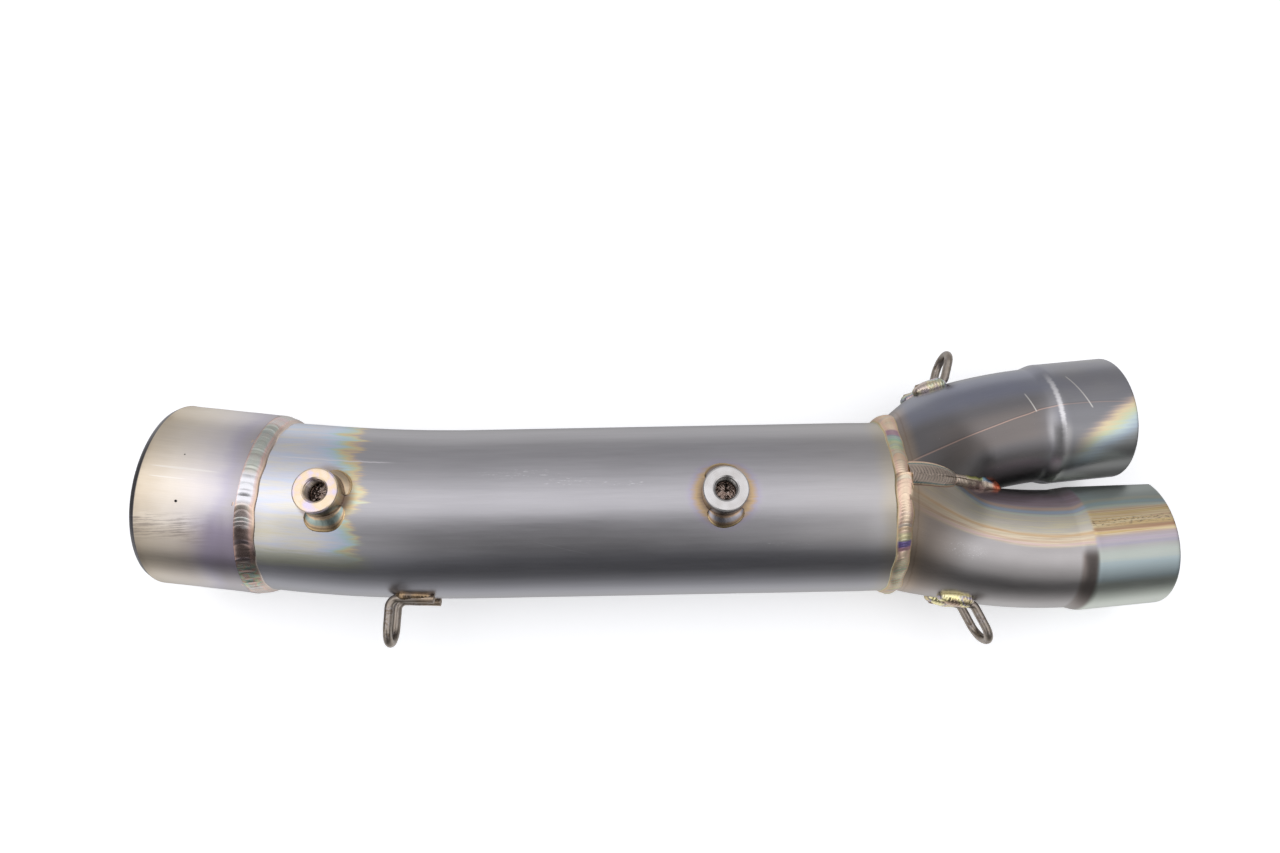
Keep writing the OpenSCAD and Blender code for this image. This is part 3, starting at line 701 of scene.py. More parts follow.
# ---------------------------------------------------------------- paint
def seen(red, green, blue):
    """A colour as the eye reads it on a screen, 0 to 255, made linear."""
    def linear(c):
        c /= 255
        return c / 12.92 if c <= 0.04045 else ((c + 0.055) / 1.055) ** 2.4
    return (linear(red), linear(green), linear(blue), 1.0)


class Value:
    """A node output that can be added, multiplied and so on."""

    def __init__(self, paint, socket):
        self.paint, self.socket = paint, socket

    def _do(self, operation, other=None, turned_round=False):
        pair = [self, other] if not turned_round else [other, self]
        return self.paint.math(operation, *[v for v in pair if v is not None])

    def __add__(self, other): return self._do("ADD", other)
    def __radd__(self, other): return self._do("ADD", other)
    def __sub__(self, other): return self._do("SUBTRACT", other)
    def __rsub__(self, other): return self._do("SUBTRACT", other, True)
    def __mul__(self, other): return self._do("MULTIPLY", other)
    def __rmul__(self, other): return self._do("MULTIPLY", other)
    def __truediv__(self, other): return self._do("DIVIDE", other)
    def __abs__(self): return self._do("ABSOLUTE")
    def min(self, other): return self._do("MINIMUM", other)
    def max(self, other): return self._do("MAXIMUM", other)
    def power(self, other): return self._do("POWER", other)
    def sine(self): return self._do("SINE")
    def fraction(self): return self._do("FRACT")


class Paint:
    """Builds one metal: colour layers over each other, roughness and a fine bump."""

    def __init__(self, name, metallic=1.0):
        self.material = bpy.data.materials.new(name)
        self.material.use_nodes = True
        self.tree = self.material.node_tree
        self.shader = self.tree.nodes["Principled BSDF"]
        self.shader.inputs["Metallic"].default_value = metallic
        self.colour = None

    def node(self, kind, **settings):
        node = self.tree.nodes.new(kind)
        for key, value in settings.items():
            setattr(node, key, value)
        return node

    def put(self, socket, value):
        if isinstance(value, Value):
            self.tree.links.new(value.socket, socket)
        else:
            socket.default_value = value

    def math(self, operation, *values):
        node = self.node("ShaderNodeMath", operation=operation)
        for k, value in enumerate(values):
            self.put(node.inputs[k], value)
        return Value(self, node.outputs[0])

    def attribute(self, name):
        return Value(self, self.node("ShaderNodeAttribute", attribute_name=name).outputs["Fac"])

    def place(self):
        """Position in millimetres, as a vector and as x, y, z."""
        point = self.node("ShaderNodeTexCoord").outputs["Object"]
        scaled = self.node("ShaderNodeVectorMath", operation="SCALE")
        self.tree.links.new(point, scaled.inputs[0])
        scaled.inputs["Scale"].default_value = 1 / MM
        return Value(self, scaled.outputs[0])

    def part(self, vector, k):
        """One number of a vector: 0 for x, 1 for y, 2 for z."""
        node = self.node("ShaderNodeSeparateXYZ")
        self.put(node.inputs[0], vector)
        return Value(self, node.outputs[k])

    def vector(self, x, y, z):
        node = self.node("ShaderNodeCombineXYZ")
        for socket, value in zip(node.inputs, (x, y, z)):
            self.put(socket, value)
        return Value(self, node.outputs[0])

    def noise(self, vector, scale=1.0, detail=3.0, rough=0.55):
        node = self.node("ShaderNodeTexNoise")
        self.put(node.inputs["Vector"], vector)
        node.inputs["Scale"].default_value = scale
        node.inputs["Detail"].default_value = detail
        node.inputs["Roughness"].default_value = rough
        return Value(self, node.outputs["Fac"])

    def cells(self, vector, scale=1.0):
        node = self.node("ShaderNodeTexVoronoi", feature="F1")
        self.put(node.inputs["Vector"], vector)
        node.inputs["Scale"].default_value = scale
        return Value(self, node.outputs["Distance"])

    def rise(self, value, low, high):
        """0 below low, 1 above high, smooth between."""
        node = self.node("ShaderNodeMapRange", interpolation_type="SMOOTHSTEP", clamp=True)
        self.put(node.inputs["Value"], value)
        flip = low > high
        node.inputs["From Min"].default_value, node.inputs["From Max"].default_value = (high, low) if flip else (low, high)
        node.inputs["To Min"].default_value, node.inputs["To Max"].default_value = (1, 0) if flip else (0, 1)
        return Value(self, node.outputs["Result"])

    def band(self, value, centre, half, soft):
        return self.rise(abs(value - centre), half + soft, half)

    def spot(self, u, v, centre, size, soft=0.5):
        """1 in an ellipse of that size round the centre, fading by soft outside it."""
        a, b = (u - centre[0]) / size[0], (v - centre[1]) / size[1]
        return self.rise((a * a + b * b).power(0.5), 1 + soft, 1)

    def ramp(self, value, *stops):
        node = self.node("ShaderNodeValToRGB")
        self.put(node.inputs["Fac"], value)
        elements = node.color_ramp.elements
        while len(elements) < len(stops):
            elements.new(0.5)
        for element, (position, colour) in zip(elements, stops):
            element.position, element.color = position, colour
        return Value(self, node.outputs["Color"])

    def mix(self, amount, first, second, blend="MIX"):
        node = self.node("ShaderNodeMix", data_type="RGBA", blend_type=blend)
        self.put(node.inputs[0], amount)
        self.put(node.inputs[6], first)
        self.put(node.inputs[7], second)
        return Value(self, node.outputs[2])

    def layer(self, amount, colour, blend="MIX"):
        """Lays a colour over what is there."""
        self.colour = self.mix(amount, self.colour, colour, blend)

    def shade(self, low, high, value):
        """Multiplies the colour by a grey between low and high."""
        grey = value * (high - low) + low
        self.layer(1.0, self.vector(grey, grey, grey), "MULTIPLY")

    def line(self, value, *points):
        """Minus the height of a smooth line through the points: added to a value, it measures from that line."""
        node = self.node("ShaderNodeFloatCurve")
        xs, ys = [x for x, _ in points], [y for _, y in points]
        low, high, bottom, top = min(xs), max(xs), min(ys) - 1, max(ys) + 1
        curve = node.mapping.curves[0]
        while len(curve.points) < len(points):
            curve.points.new(0.5, 0.5)
        for spot, (x, y) in zip(curve.points, points):
            spot.location = ((x - low) / (high - low), (y - bottom) / (top - bottom))
            spot.handle_type = "AUTO"
        node.mapping.update()
        self.put(node.inputs["Value"], (value - low) / (high - low))
        return Value(self, node.outputs[0]) * (bottom - top) - bottom

    def finish(self, roughness, bump=None, strength=0.2, depth_mm=0.05):
        self.put(self.shader.inputs["Base Color"], self.colour)
        self.put(self.shader.inputs["Roughness"], roughness)
        if bump is not None:
            node = self.node("ShaderNodeBump")
            node.inputs["Strength"].default_value = strength
            node.inputs["Distance"].default_value = depth_mm * MM
            self.put(node.inputs["Height"], bump)
            self.tree.links.new(node.outputs[0], self.shader.inputs["Normal"])
        return self.material


# Temper colours from cold metal to the hottest film
COLD, STRAW, GOLD = seen(168, 166, 168), seen(205, 188, 160), seen(214, 176, 112)
ROSE, VIOLET, BLUE = seen(196, 140, 128), seen(140, 118, 168), seen(118, 146, 190)
CYAN, GREEN, LILAC = seen(168, 204, 214), seen(150, 176, 150), seen(206, 200, 226)
DEEP = seen(60, 50, 74)


def brushed(p, along, arc, length=9.0, width=0.22):
    """Fine lines along the tube, from two scales of stretched noise."""
    fine = p.noise(p.vector(along * (1 / length), arc * (1 / width), 0.0), 1.0, 4.0, 0.6)
    broad = p.noise(p.vector(along * 0.03, arc * 0.5, 3.0), 1.0, 3.0, 0.5)
    return fine, broad


def scratch(p, along, arc, start, end, width=0.18):
    """A short straight scratch between two points on the unrolled surface."""
    (a0, c0), (a1, c1) = start, end
    length = math.hypot(a1 - a0, c1 - c0)
    ux, uy = (a1 - a0) / length, (c1 - c0) / length
    da, dc = along - a0, arc - c0
    h = da * ux + dc * uy
    off = abs(da * uy - dc * ux)
    inside = p.band(h, length / 2, length / 2 - 0.6, 0.9)
    return p.rise(off, width * 1.6, width * 0.4) * inside


def paint_main():
    p = Paint("tube_graphite")
    back, around = p.attribute("along"), p.attribute("around")
    arc = around * math.radians(1) * MAIN_R
    fine, broad = brushed(p, back, arc)
    ragged = p.noise(p.vector(back * 0.09, arc * 0.85, 7.0), 1.0, 5.0, 0.65)
    cloud = p.noise(p.vector(back * 0.03, arc * 0.09, 1.0), 1.0, 2.0, 0.5)
    streak = p.noise(p.vector(back * 0.05, arc * 0.35, 12.0), 1.0, 3.0, 0.6)
    p.colour = p.ramp(broad, (0.3, seen(174, 172, 176)), (0.7, seen(182, 180, 184)))
    p.layer(p.rise(back, 60, 0) * 0.5, seen(186, 182, 180))
    # heat from the sleeve weld and the outlet boss: blue and lilac, with a ragged straw front
    drift = p.noise(p.vector(back * 0.02, arc * 0.22, 17.0), 1.0, 2.0, 0.5)
    front = back + (ragged - 0.5) * 10 + (drift - 0.5) * 16 - p.rise(around, 10, 60) * 6
    low_side = p.rise(around + (ragged - 0.5) * 12, -48, -36)
    heat = p.rise(front, 176, 196)
    hue = heat * 0.62 + (streak - 0.5) * 0.75 + p.rise(around, 30, -30) * 0.12 + 0.08
    film = p.ramp(hue,
                  (0.0, seen(190, 186, 188)), (0.12, seen(208, 186, 172)), (0.24, seen(226, 208, 166)),
                  (0.34, seen(208, 216, 192)), (0.44, seen(196, 218, 224)), (0.56, seen(206, 218, 236)),
                  (0.7, seen(216, 218, 230)), (0.84, seen(226, 222, 214)), (1.0, seen(222, 214, 190)))
    p.layer(p.rise(heat, 0.02, 0.2) * low_side, film)
    fringe = p.band(around + (ragged - 0.5) * 12, -44, 3, 6) * p.rise(back, 172, 184)
    p.layer(fringe * 0.55, seen(196, 196, 156))
    # the halo round the inlet boss, and the brown one round the outlet boss
    from_boss = ((back - BOSS_INLET_AT) * (back - BOSS_INLET_AT) + arc * arc).power(0.5) + (ragged - 0.5) * 4
    halo = p.ramp(from_boss / 20, (0.36, seen(140, 122, 108)), (0.46, seen(190, 164, 130)), (0.56, seen(176, 170, 186)),
                  (0.66, seen(184, 180, 186)))
    p.layer(p.rise(from_boss, 14, 10.5), halo)
    near = ((back - (STRAIGHT + BOSS_OUTLET_AT)) * (back - (STRAIGHT + BOSS_OUTLET_AT)) + arc * arc).power(0.5)
    p.layer(p.rise(near + (ragged - 0.5) * 3, 12.0, 9.0) * 0.6 * p.rise(back, 200, 190), seen(176, 142, 110))
    p.layer(p.rise(near + (ragged - 0.5) * 2, 9.6, 8.2) * 0.6, seen(150, 126, 112))
    # heat line beside the collector ring
    p.layer(p.rise(back + (cloud - 0.5) * 6, 10, 3) * 0.55, seen(196, 184, 160))
    # the tube's own long seam near the outlet, and light scratches
    seam = p.band(around + (p.noise(p.vector(back * 0.3, 0.0, 0.0)) - 0.5) * 1.6, 24.3, 0.2, 0.5)
    p.layer(seam * p.band(back, 190, 14, 8) * 0.7, seen(236, 232, 236))
    rubbed = p.rise(p.noise(p.vector(back * 0.35, arc * 2.2, 9.0), 1.0, 4.0, 0.7), 0.56, 0.66)
    marks = p.spot(back, arc, (127, 8.2), (10, 1.3), 0.6).max(p.spot(back, arc, (110, 5.0), (8, 1.0), 0.6))
    marks = marks.max(p.spot(back, arc, (92, 4.0), (7, 0.7), 0.6)).max(p.spot(back, arc, (40, -17.6), (9, 0.6), 0.5))
    p.layer(marks * rubbed * 0.5, seen(236, 236, 238))
    p.layer(scratch(p, back, arc, (122, -15), (104, -20), 0.10) * 0.25, seen(226, 226, 230))
    p.shade(0.86, 1.08, fine)
    # painted shade along the lower front, in the band where the dark front of the room reflects
    p.layer(p.rise(around, -28, -46) * p.rise(around, -100, -70) * 0.3, seen(120, 126, 144))
    return p.finish(fine * 0.12 + broad * 0.05 + 0.25, fine, 0.3, 0.018)


def paint_sleeve():
    p = Paint("sleeve_straw")
    back, around = p.attribute("along"), p.attribute("around")
    arc = around * math.radians(1) * SLEEVE_R
    fine, broad = brushed(p, back, arc, 12.0, 0.3)
    cloud = p.noise(p.vector(back * 0.06, arc * 0.09, 4.0), 1.0, 3.0, 0.5)
    streak = p.noise(p.vector(back * 0.05, arc * 0.5, 12.0), 1.0, 3.0, 0.6)
    out = back - BEND_END + p.rise(around, -10, -50) * -5
    p.colour = p.ramp(out / SLEEVE_LENGTH + (cloud - 0.5) * 0.25 + (streak - 0.5) * 0.12,
                      (0.0, seen(188, 182, 186)), (0.12, seen(196, 190, 202)), (0.24, seen(214, 208, 212)),
                      (0.42, seen(226, 218, 214)), (0.66, seen(228, 218, 206)), (0.9, seen(216, 202, 182)),
                      (1.0, seen(196, 180, 158)))
    p.layer(p.rise(around, -12, -30) * p.rise(around, -66, -46) * p.rise(out, 17, 5) * 0.75, seen(138, 126, 148))
    p.layer(p.rise(around, -22, -34) * p.rise(around, -90, -52) * p.rise(out, 4, 14) * 0.5, seen(176, 160, 138))
    rub = p.band(around + (cloud - 0.5) * 14, -29, 3, 9) * p.rise(out + (cloud - 0.5) * 10, 2, 16)
    lines = p.noise(p.vector(back * 0.09, (arc + back * 0.16) * 1.5, 2.0), 1.0, 5.0, 0.7)
    p.layer(rub * p.rise(lines, 0.46, 0.6) * 0.55, seen(128, 116, 114))
    p.layer(rub * p.rise(lines, 0.44, 0.36) * 0.4, seen(232, 224, 214))
    light = p.spot(back, arc, (238, 4), (9, 0.3), 0.4).max(p.spot(back, arc, (243, 0.5), (5, 0.2), 0.4))
    p.layer(light * 0.5, seen(240, 236, 230))
    pit = p.spot(back, arc, (238.5, -7.0), (0.42, 0.38), 0.4).max(p.spot(back, arc, (239.5, 9), (0.2, 0.2), 0.4))
    p.layer(pit, seen(40, 36, 38))
    lip = p.rise(back, BEND_END + SLEEVE_LENGTH - 2.1, BEND_END + SLEEVE_LENGTH - 1.8)
    p.layer(lip * 0.9, seen(92, 94, 104))
    p.shade(0.88, 1.07, fine)
    rough = fine * 0.12 + cloud * 0.10 + 0.23
    return p.finish(rough, fine + rub * lines * 1.2, 0.3, 0.022)


def paint_leg(rear):
    p = Paint("leg_rear" if rear else "leg_front")
    along, around = p.attribute("along"), p.attribute("around")
    arc = around * math.radians(1) * LEG_R
    fine, broad = brushed(p, along, arc, 7.0, 0.2)
    ragged = p.noise(p.vector(along * 0.08, arc * 0.9, 5.0), 1.0, 4.0, 0.6)
    cloud = p.noise(p.vector(along * 0.05, arc * 0.08, 8.0), 1.0, 2.0, 0.5)
    streak = p.noise(p.vector(along * 0.04, arc * 1.3, 3.0), 1.0, 4.0, 0.6)
    speck = p.noise(p.vector(along * 1.6, arc * 1.6, 2.0), 1.0, 2.0, 0.5)
    if rear:
        swage = REAR.step + 3.4
        p.colour = p.ramp(cloud, (0.3, seen(150, 150, 160)), (0.7, seen(160, 159, 162)))
        p.layer(p.rise(around, 16, -8) * p.rise(along, 2, -12) * 0.9, seen(120, 117, 118))
        p.layer(p.rise(around, 30, 0) * p.rise(along, -4, 0) * 0.35, seen(140, 138, 140))
        p.layer(p.rise(along, -30, -60) * p.rise(around, -10, -60) * 0.5, seen(120, 112, 100))
        p.layer(p.band(around, 26, 14, 16) * p.rise(along, 6, -8) * 0.35, seen(140, 146, 172))
        p.layer(p.band(around, -26, 10, 12) * p.band(along, -30, 14, 14) * 0.3, seen(134, 120, 108))
        path = around + p.line(along, (-66, -26), (-39.5, -24), (-16, -18), (-2.5, -14), (25, -18))
        p.layer(p.rise(abs(path), 0.7, 0.2) * 0.5, seen(222, 184, 168))
        p.layer(p.rise(abs(path - 1.1), 0.7, 0.2) * 0.35, seen(110, 100, 100))
        # darker grey low on the socket, and a painted highlight along the step's low side; then temper colours low at
        # the mouth, drawn out along the tube
        p.layer(p.rise(along, -3, 2) * p.rise(around, 4, -16) * 0.6, seen(122, 122, 124))
        p.layer(p.band(along, -2.5, 1.5, 2.5) * p.rise(around, -24, -40) * 0.6, seen(170, 168, 168))
        hot = p.rise(around * -1.0 + along * 1.6 + (cloud - 0.5) * 16 + (streak - 0.5) * 14, 36, 96)
        rainbow = p.ramp(hot, (0.0, seen(166, 164, 168)), (0.16, seen(206, 182, 166)), (0.3, seen(240, 220, 176)),
                         (0.46, seen(222, 228, 190)), (0.62, seen(204, 222, 222)), (0.8, seen(176, 192, 206)),
                         (1.0, seen(150, 152, 150)))
        p.layer(p.rise(hot, 0.03, 0.25) * p.rise(along, 0, 14) * 0.72, rainbow)
        # painted highlight: a bright streak along the socket's step and a soft bright patch where the step begins
        step = p.band(along + (ragged - 0.5) * 1.4, swage + 0.4, 0.25, 1.0) * p.band(around, -14, 18, 26)
        p.layer(step * (0.45 + fine * 0.5), seen(240, 238, 240))
        p.layer(p.spot(along, arc, (-6.0, -12.5), (0.7, 1.8), 4.0) * (0.15 + cloud * 0.25), seen(222, 220, 222))
        marks = scratch(p, along, arc, (-13, 1.5), (-11.2, -6.2), 0.22).max(scratch(p, along, arc, (4, 6.2), (9.2, -7.2), 0.22))
        p.layer(marks * 0.7, seen(228, 224, 218))
    else:
        p.colour = p.ramp(cloud, (0.3, seen(166, 162, 162)), (0.7, seen(178, 174, 174)))
        wave = (ragged - 0.5) * 2.0
        blue_line = around + wave + p.line(along, (-66, -47), (-56, -46), (-34, -40), (-10, -41), (2, -46), (22, -44))
        gold_line = around + wave + p.line(along, (-66, -18), (-45, -15), (-22, -12), (-4, -14), (24, -14))
        between = p.rise(blue_line, 1, 5) * p.rise(gold_line, 1, -5)
        tint = p.ramp(streak + (cloud - 0.5) * 0.3, (0.3, seen(208, 200, 186)), (0.5, seen(198, 192, 178)), (0.62, seen(212, 204, 172)),
                      (0.75, seen(202, 180, 170)))
        p.layer(between * 0.75, tint)
        # inside the crease: rose and violet over a dark film
        p.layer(p.rise(blue_line, -3, -9) * p.rise(blue_line, -34, -20) * 0.55, p.ramp(streak, (0.35, seen(150, 120, 130)), (0.65, seen(164, 140, 160))))
        p.layer(p.rise(abs(blue_line + 4.2), 2.6, 0.6) * 0.55, seen(206, 172, 150))
        p.layer(p.rise(abs(blue_line), 2.6, 0.4) * 0.65, seen(158, 180, 204))
        p.layer(p.rise(abs(blue_line - 3.4), 2.0, 0.5) * 0.5, seen(190, 206, 196))
        p.layer(p.rise(abs(gold_line), 8.0, 4.5) * 0.8, p.ramp(streak, (0.36, seen(206, 190, 160)), (0.5, seen(224, 208, 180)), (0.62, seen(198, 176, 150))))
        p.layer(p.rise(abs(gold_line + 4.0), 1.6, 0.4) * 0.6, seen(196, 160, 120))
        p.layer(p.rise(abs(gold_line - 4.2), 1.6, 0.4) * 0.5, seen(206, 176, 186))
        p.layer(p.rise(abs(gold_line - 1.6), 1.2, 0.3) * 0.4, seen(190, 150, 130))
        in_socket = p.rise(along, FRONT.step + 3.4, FRONT.step + 4.8)
        socket_gold = p.band(around + wave, -26, 11, 4) * in_socket
        lines = p.ramp(p.noise(p.vector(along * 0.015, arc * 0.9, 6.0), 1.0, 2.0, 0.5), (0.36, seen(214, 190, 140)), (0.46, seen(196, 166, 122)),
                       (0.54, seen(222, 206, 166)), (0.62, seen(200, 170, 140)))
        p.layer(socket_gold * 0.9, lines)
        dark = p.rise(p.noise(p.vector(along * 0.6, arc * 2.4, 1.0), 1.0, 4.0, 0.7), 0.5, 0.62)
        p.layer(p.band(around + wave, -26.5, 2.2, 2.0) * in_socket * dark * 0.75, seen(112, 100, 92))
        p.layer(p.band(around + wave, -20.5, 1.0, 1.2) * in_socket * 0.6, seen(150, 112, 90))
        p.layer(p.band(around + wave, -10, 3, 4) * in_socket * 0.7, seen(166, 162, 180))
        p.layer(p.rise(around, -7, 2) * in_socket * p.rise(around, 60, 30) * 0.7, seen(176, 186, 178))
        p.layer(p.band(around + (streak - 0.5) * 8, 18, 6, 8) * in_socket * 0.5, seen(150, 172, 186))
        # painted reflection: the lower side of the socket made lighter
        p.layer(p.rise(around, 26, 44) * in_socket * 0.75, seen(216, 224, 214))
        p.layer(p.rise(around, -38, -46) * in_socket * 0.6, seen(150, 170, 160))
        # painted shade: a dark brown band on the step's slope, lower side
        p.layer(p.band(along, FRONT.step + 2.0, 1.6, 1.8) * p.rise(around, -6, 4) * 0.6, seen(104, 88, 78))
        p.layer(p.rise(along, -46, -66) * 0.5, seen(160, 138, 118))
        tiny = p.noise(p.vector(along * 1.3, arc * 4.0, 4.0), 1.0, 2.0, 0.6)
        p.layer(p.spot(along, arc, (-50, 2.5), (5, 2), 0.8) * p.rise(tiny, 0.62, 0.68) * 0.7, seen(228, 228, 230))
    beyond_ring = p.part(p.place(), 0) - SHIFT[0] + (ragged - 0.5) * 1.2
    p.layer(p.rise(beyond_ring, 9, 4) * 0.5, seen(186, 164, 140))
    p.layer(p.band(beyond_ring, 4.6, 0.1, 0.4) * 0.22, seen(120, 96, 84))
    p.shade(0.86, 1.08, fine)
    p.layer(p.rise(speck, 0.745, 0.775) * 0.4, seen(225, 225, 228))
    return p.finish(fine * 0.12 + broad * 0.05 + 0.24, fine, 0.25, 0.016)


def step_of(p):
    """Place within a scale of a bead, 0 to 1."""
    return p.attribute("edge").fraction()


def paint_ring(name, stops, border, borders_at, seed):
    """A weld bead: colour bands from toe to toe, a tint for each scale and thin lines between scales."""
    p = Paint(name)
    across, around, phase = p.attribute("along"), p.attribute("around"), p.attribute("edge")
    arc = around * math.radians(1) * MAIN_R
    each = p.noise(p.vector(p.math("FLOOR", phase) * 3.7, seed * 1.0, 0.0), 1.0, 0.0, 0.5)
    wide = p.noise(p.vector(arc * 0.10, seed * 1.0, 0.0), 1.0, 2.0, 0.5)
    grain = p.noise(p.vector(arc * 1.0, across * 1.2, seed * 1.0), 1.0, 4.0, 0.6)
    heat = abs(across) * 0.55 + (grain - 0.5) * 0.16
    p.colour = p.ramp(heat, *stops)
    tints = p.ramp(each, (0.30, seen(206, 150, 160)), (0.40, seen(216, 190, 140)), (0.50, seen(196, 166, 150)),
                   (0.58, seen(160, 196, 176)), (0.68, seen(166, 150, 190)))
    p.layer(p.rise(wide, 0.42, 0.62) * p.rise(abs(across), 0.95, 0.7) * 0.45, tints)
    p.layer(p.band(abs(across) + (grain - 0.5) * 0.12, borders_at, 0.02, 0.07) * 0.7, border)
    step = phase.fraction()
    p.layer(p.rise(step, 0.16, 0.0) * p.rise(abs(across), 0.9, 0.6) * 0.35, seen(150, 124, 116))
    p.shade(0.92, 1.06, grain)
    return p, across, around, each, grain


def paint_collector():
    stops = ((0.0, seen(248, 226, 200)), (0.2, seen(240, 214, 190)), (0.36, seen(230, 194, 176)), (0.46, seen(226, 212, 176)),
             (0.54, seen(206, 214, 184)), (0.62, seen(190, 170, 152)))
    p, across, around, each, grain = paint_ring("weld_salmon", stops, seen(206, 170, 130), 0.86, 3)
    inside = p.rise(abs(across), 0.9, 0.6)
    p.layer(p.band(around, -35, 1.6, 1.6) * inside * 0.8, seen(96, 84, 176))
    p.layer(p.band(around, -38.5, 0.8, 1.2) * inside * 0.6, seen(176, 110, 150))
    p.layer(p.band(around, -30, 1.6, 2.0) * inside * 0.5, seen(190, 200, 150))
    p.layer(p.band(around, 44, 2.0, 2.0) * inside * 0.6, seen(150, 110, 160))
    p.layer(p.band(around, 39, 2.0, 2.0) * inside * 0.6, seen(140, 190, 190))
    p.layer(p.band(around, 33, 3.5, 2.5) * inside * 0.5, seen(170, 210, 170))
    p.layer(p.rise(around, -42, -50) * p.band(step_of(p), 0.4, 0.2, 0.2) * inside * 0.5, seen(150, 190, 150))
    return p.finish(grain * 0.16 + 0.36, grain, 0.12, 0.03)


def paint_sleeve_weld():
    stops = ((0.0, seen(212, 200, 198)), (0.2, seen(206, 202, 202)), (0.34, seen(222, 200, 192)), (0.44, seen(206, 208, 202)),
             (0.54, seen(212, 194, 186)), (0.62, seen(186, 180, 184)))
    p, across, around, each, grain = paint_ring("weld_pink", stops, seen(206, 176, 160), 0.84, 5)
    p.layer(p.band(abs(across) + (grain - 0.5) * 0.1, 0.72, 0.02, 0.05) * 0.5, seen(150, 178, 168))
    dark = p.band(around + (grain - 0.5) * 8, -36, 10, 4) * p.rise(abs(across), 0.98, 0.8)
    p.layer(dark * 0.8, p.ramp(each, (0.3, seen(86, 74, 100)), (0.5, seen(150, 124, 116)), (0.64, seen(74, 72, 100))))
    p.layer(p.band(around, 0, 7, 4) * p.rise(abs(across), 0.85, 0.6) * 0.85, seen(226, 226, 232))
    p.layer(p.band(around, 24, 10, 8) * p.rise(abs(across), 0.6, 0.3) * 0.5, seen(190, 206, 190))
    p.layer(p.rise(abs(across) + (grain - 0.5) * 0.2, 0.5, 0.62) * p.rise(abs(across), 0.84, 0.76) * 0.5, seen(214, 176, 166))
    p.layer(p.rise(across + (grain - 0.5) * 0.3, 0.62, 0.8) * p.band(around, -6, 22, 10) * 0.4, seen(220, 186, 156))
    rings = (p.noise(p.vector(around * 0.10, across * 0.9, 2.0), 1.0, 1.0) * 6).fraction()
    rainbow = p.ramp(rings, (0.0, seen(206, 160, 150)), (0.3, seen(190, 200, 160)), (0.6, seen(150, 190, 180)), (1.0, seen(206, 160, 150)))
    p.layer(p.band(around, -62, 9, 5) * p.rise(abs(across), 0.95, 0.7) * 0.75, rainbow)
    return p.finish(grain * 0.18 + 0.16, grain, 0.15, 0.04)


def paint_bead(name, base, edge_colour):
    p = Paint(name)
    along, across = p.attribute("along"), p.attribute("around")
    grain = p.noise(p.place(), 0.9, 4.0, 0.6)
    wide = p.noise(p.place(), 0.25, 2.0, 0.5)
    p.colour = p.ramp(wide, *base)
    p.layer(p.rise(grain, 0.5, 0.75) * 0.4, edge_colour)
    p.shade(0.8, 1.14, grain)
    return p, along, across, grain, wide


def paint_crotch():
    """The puddle's rim lines run round it; the string of scales has a green and blue upper edge and an orange end."""
    p = Paint("weld_crotch")
    x, across, phase = p.attribute("along"), p.attribute("around"), p.attribute("edge")
    grain = p.noise(p.place(), 0.9, 4.0, 0.6)
    step = phase.fraction()
    p.colour = p.ramp(grain, (0.3, seen(178, 164, 154)), (0.7, seen(192, 176, 160)))
    rim = abs(across) + p.rise(x, 19.5, 21.6) * 0.9
    for at, colour in ((0.64, seen(206, 190, 176)), (0.76, seen(140, 164, 160)), (0.86, seen(246, 220, 186)), (0.95, seen(232, 186, 170))):
        p.layer(p.band(rim, at, 0.02, 0.05) * p.rise(x, 22, 21) * 0.85, colour)
    p.layer(p.rise(step, 0.24, 0.0) * p.rise(abs(across), 0.62, 0.5) * 0.6, seen(112, 100, 98))
    p.layer(p.band(step, 0.5, 0.1, 0.14) * p.rise(abs(across), 0.62, 0.5) * 0.5, seen(214, 196, 182))
    p.layer(p.rise(x, 21, 24) * p.band(step, 0.5, 0.2, 0.2) * 0.4, seen(206, 190, 170))
    p.layer(p.band(x, 30, 3.5, 3) * p.rise(across, 0.1, 0.6) * 0.8, seen(178, 182, 96))
    p.layer(p.band(x, 36, 2, 2) * p.rise(across, 0.0, 0.5) * 0.8, seen(90, 134, 176))
    p.layer(p.rise(x, CROTCH_END - 5.5, CROTCH_END - 3.0) * 0.85, seen(204, 104, 66))
    p.shade(0.93, 1.05, grain)
    return p.finish(grain * 0.2 + 0.2, grain, 0.15, 0.04)


def paint_patch(name, rim, middle, cool):
    """Weld metal at a boss: a dark line against the boss, a cool film in the middle of the pool, a warm rim."""
    p, along, across, grain, wide = paint_bead(name, ((0.35, rim), (0.65, rim)), seen(120, 92, 70))
    a = across + (grain - 0.5) * 0.16
    p.layer(p.rise(a, 0.84, 0.74) * 0.9, middle)
    p.layer(p.band(a, 0.46, 0.10, 0.16) * p.attribute("edge") * 0.85, cool)
    p.layer(p.band(a, 0.80, 0.02, 0.05) * 0.5, seen(110, 84, 70))
    p.layer(p.rise(a, 0.22, 0.08) * 0.7, seen(84, 72, 68))
    return p.finish(grain * 0.15 + 0.17, grain, 0.15, 0.04)


def paint_hook_weld(word, *stops):
    p = Paint("weld_hook_" + word)
    grain = p.noise(p.place(), 0.9, 3.0, 0.55)
    wide = p.noise(p.place(), 0.16, 1.0, 0.5)
    p.colour = p.ramp(wide + (grain - 0.5) * 0.22, *stops)
    p.shade(0.85, 1.1, grain)
    return p.finish(grain * 0.15 + 0.18, grain, 0.2, 0.05)


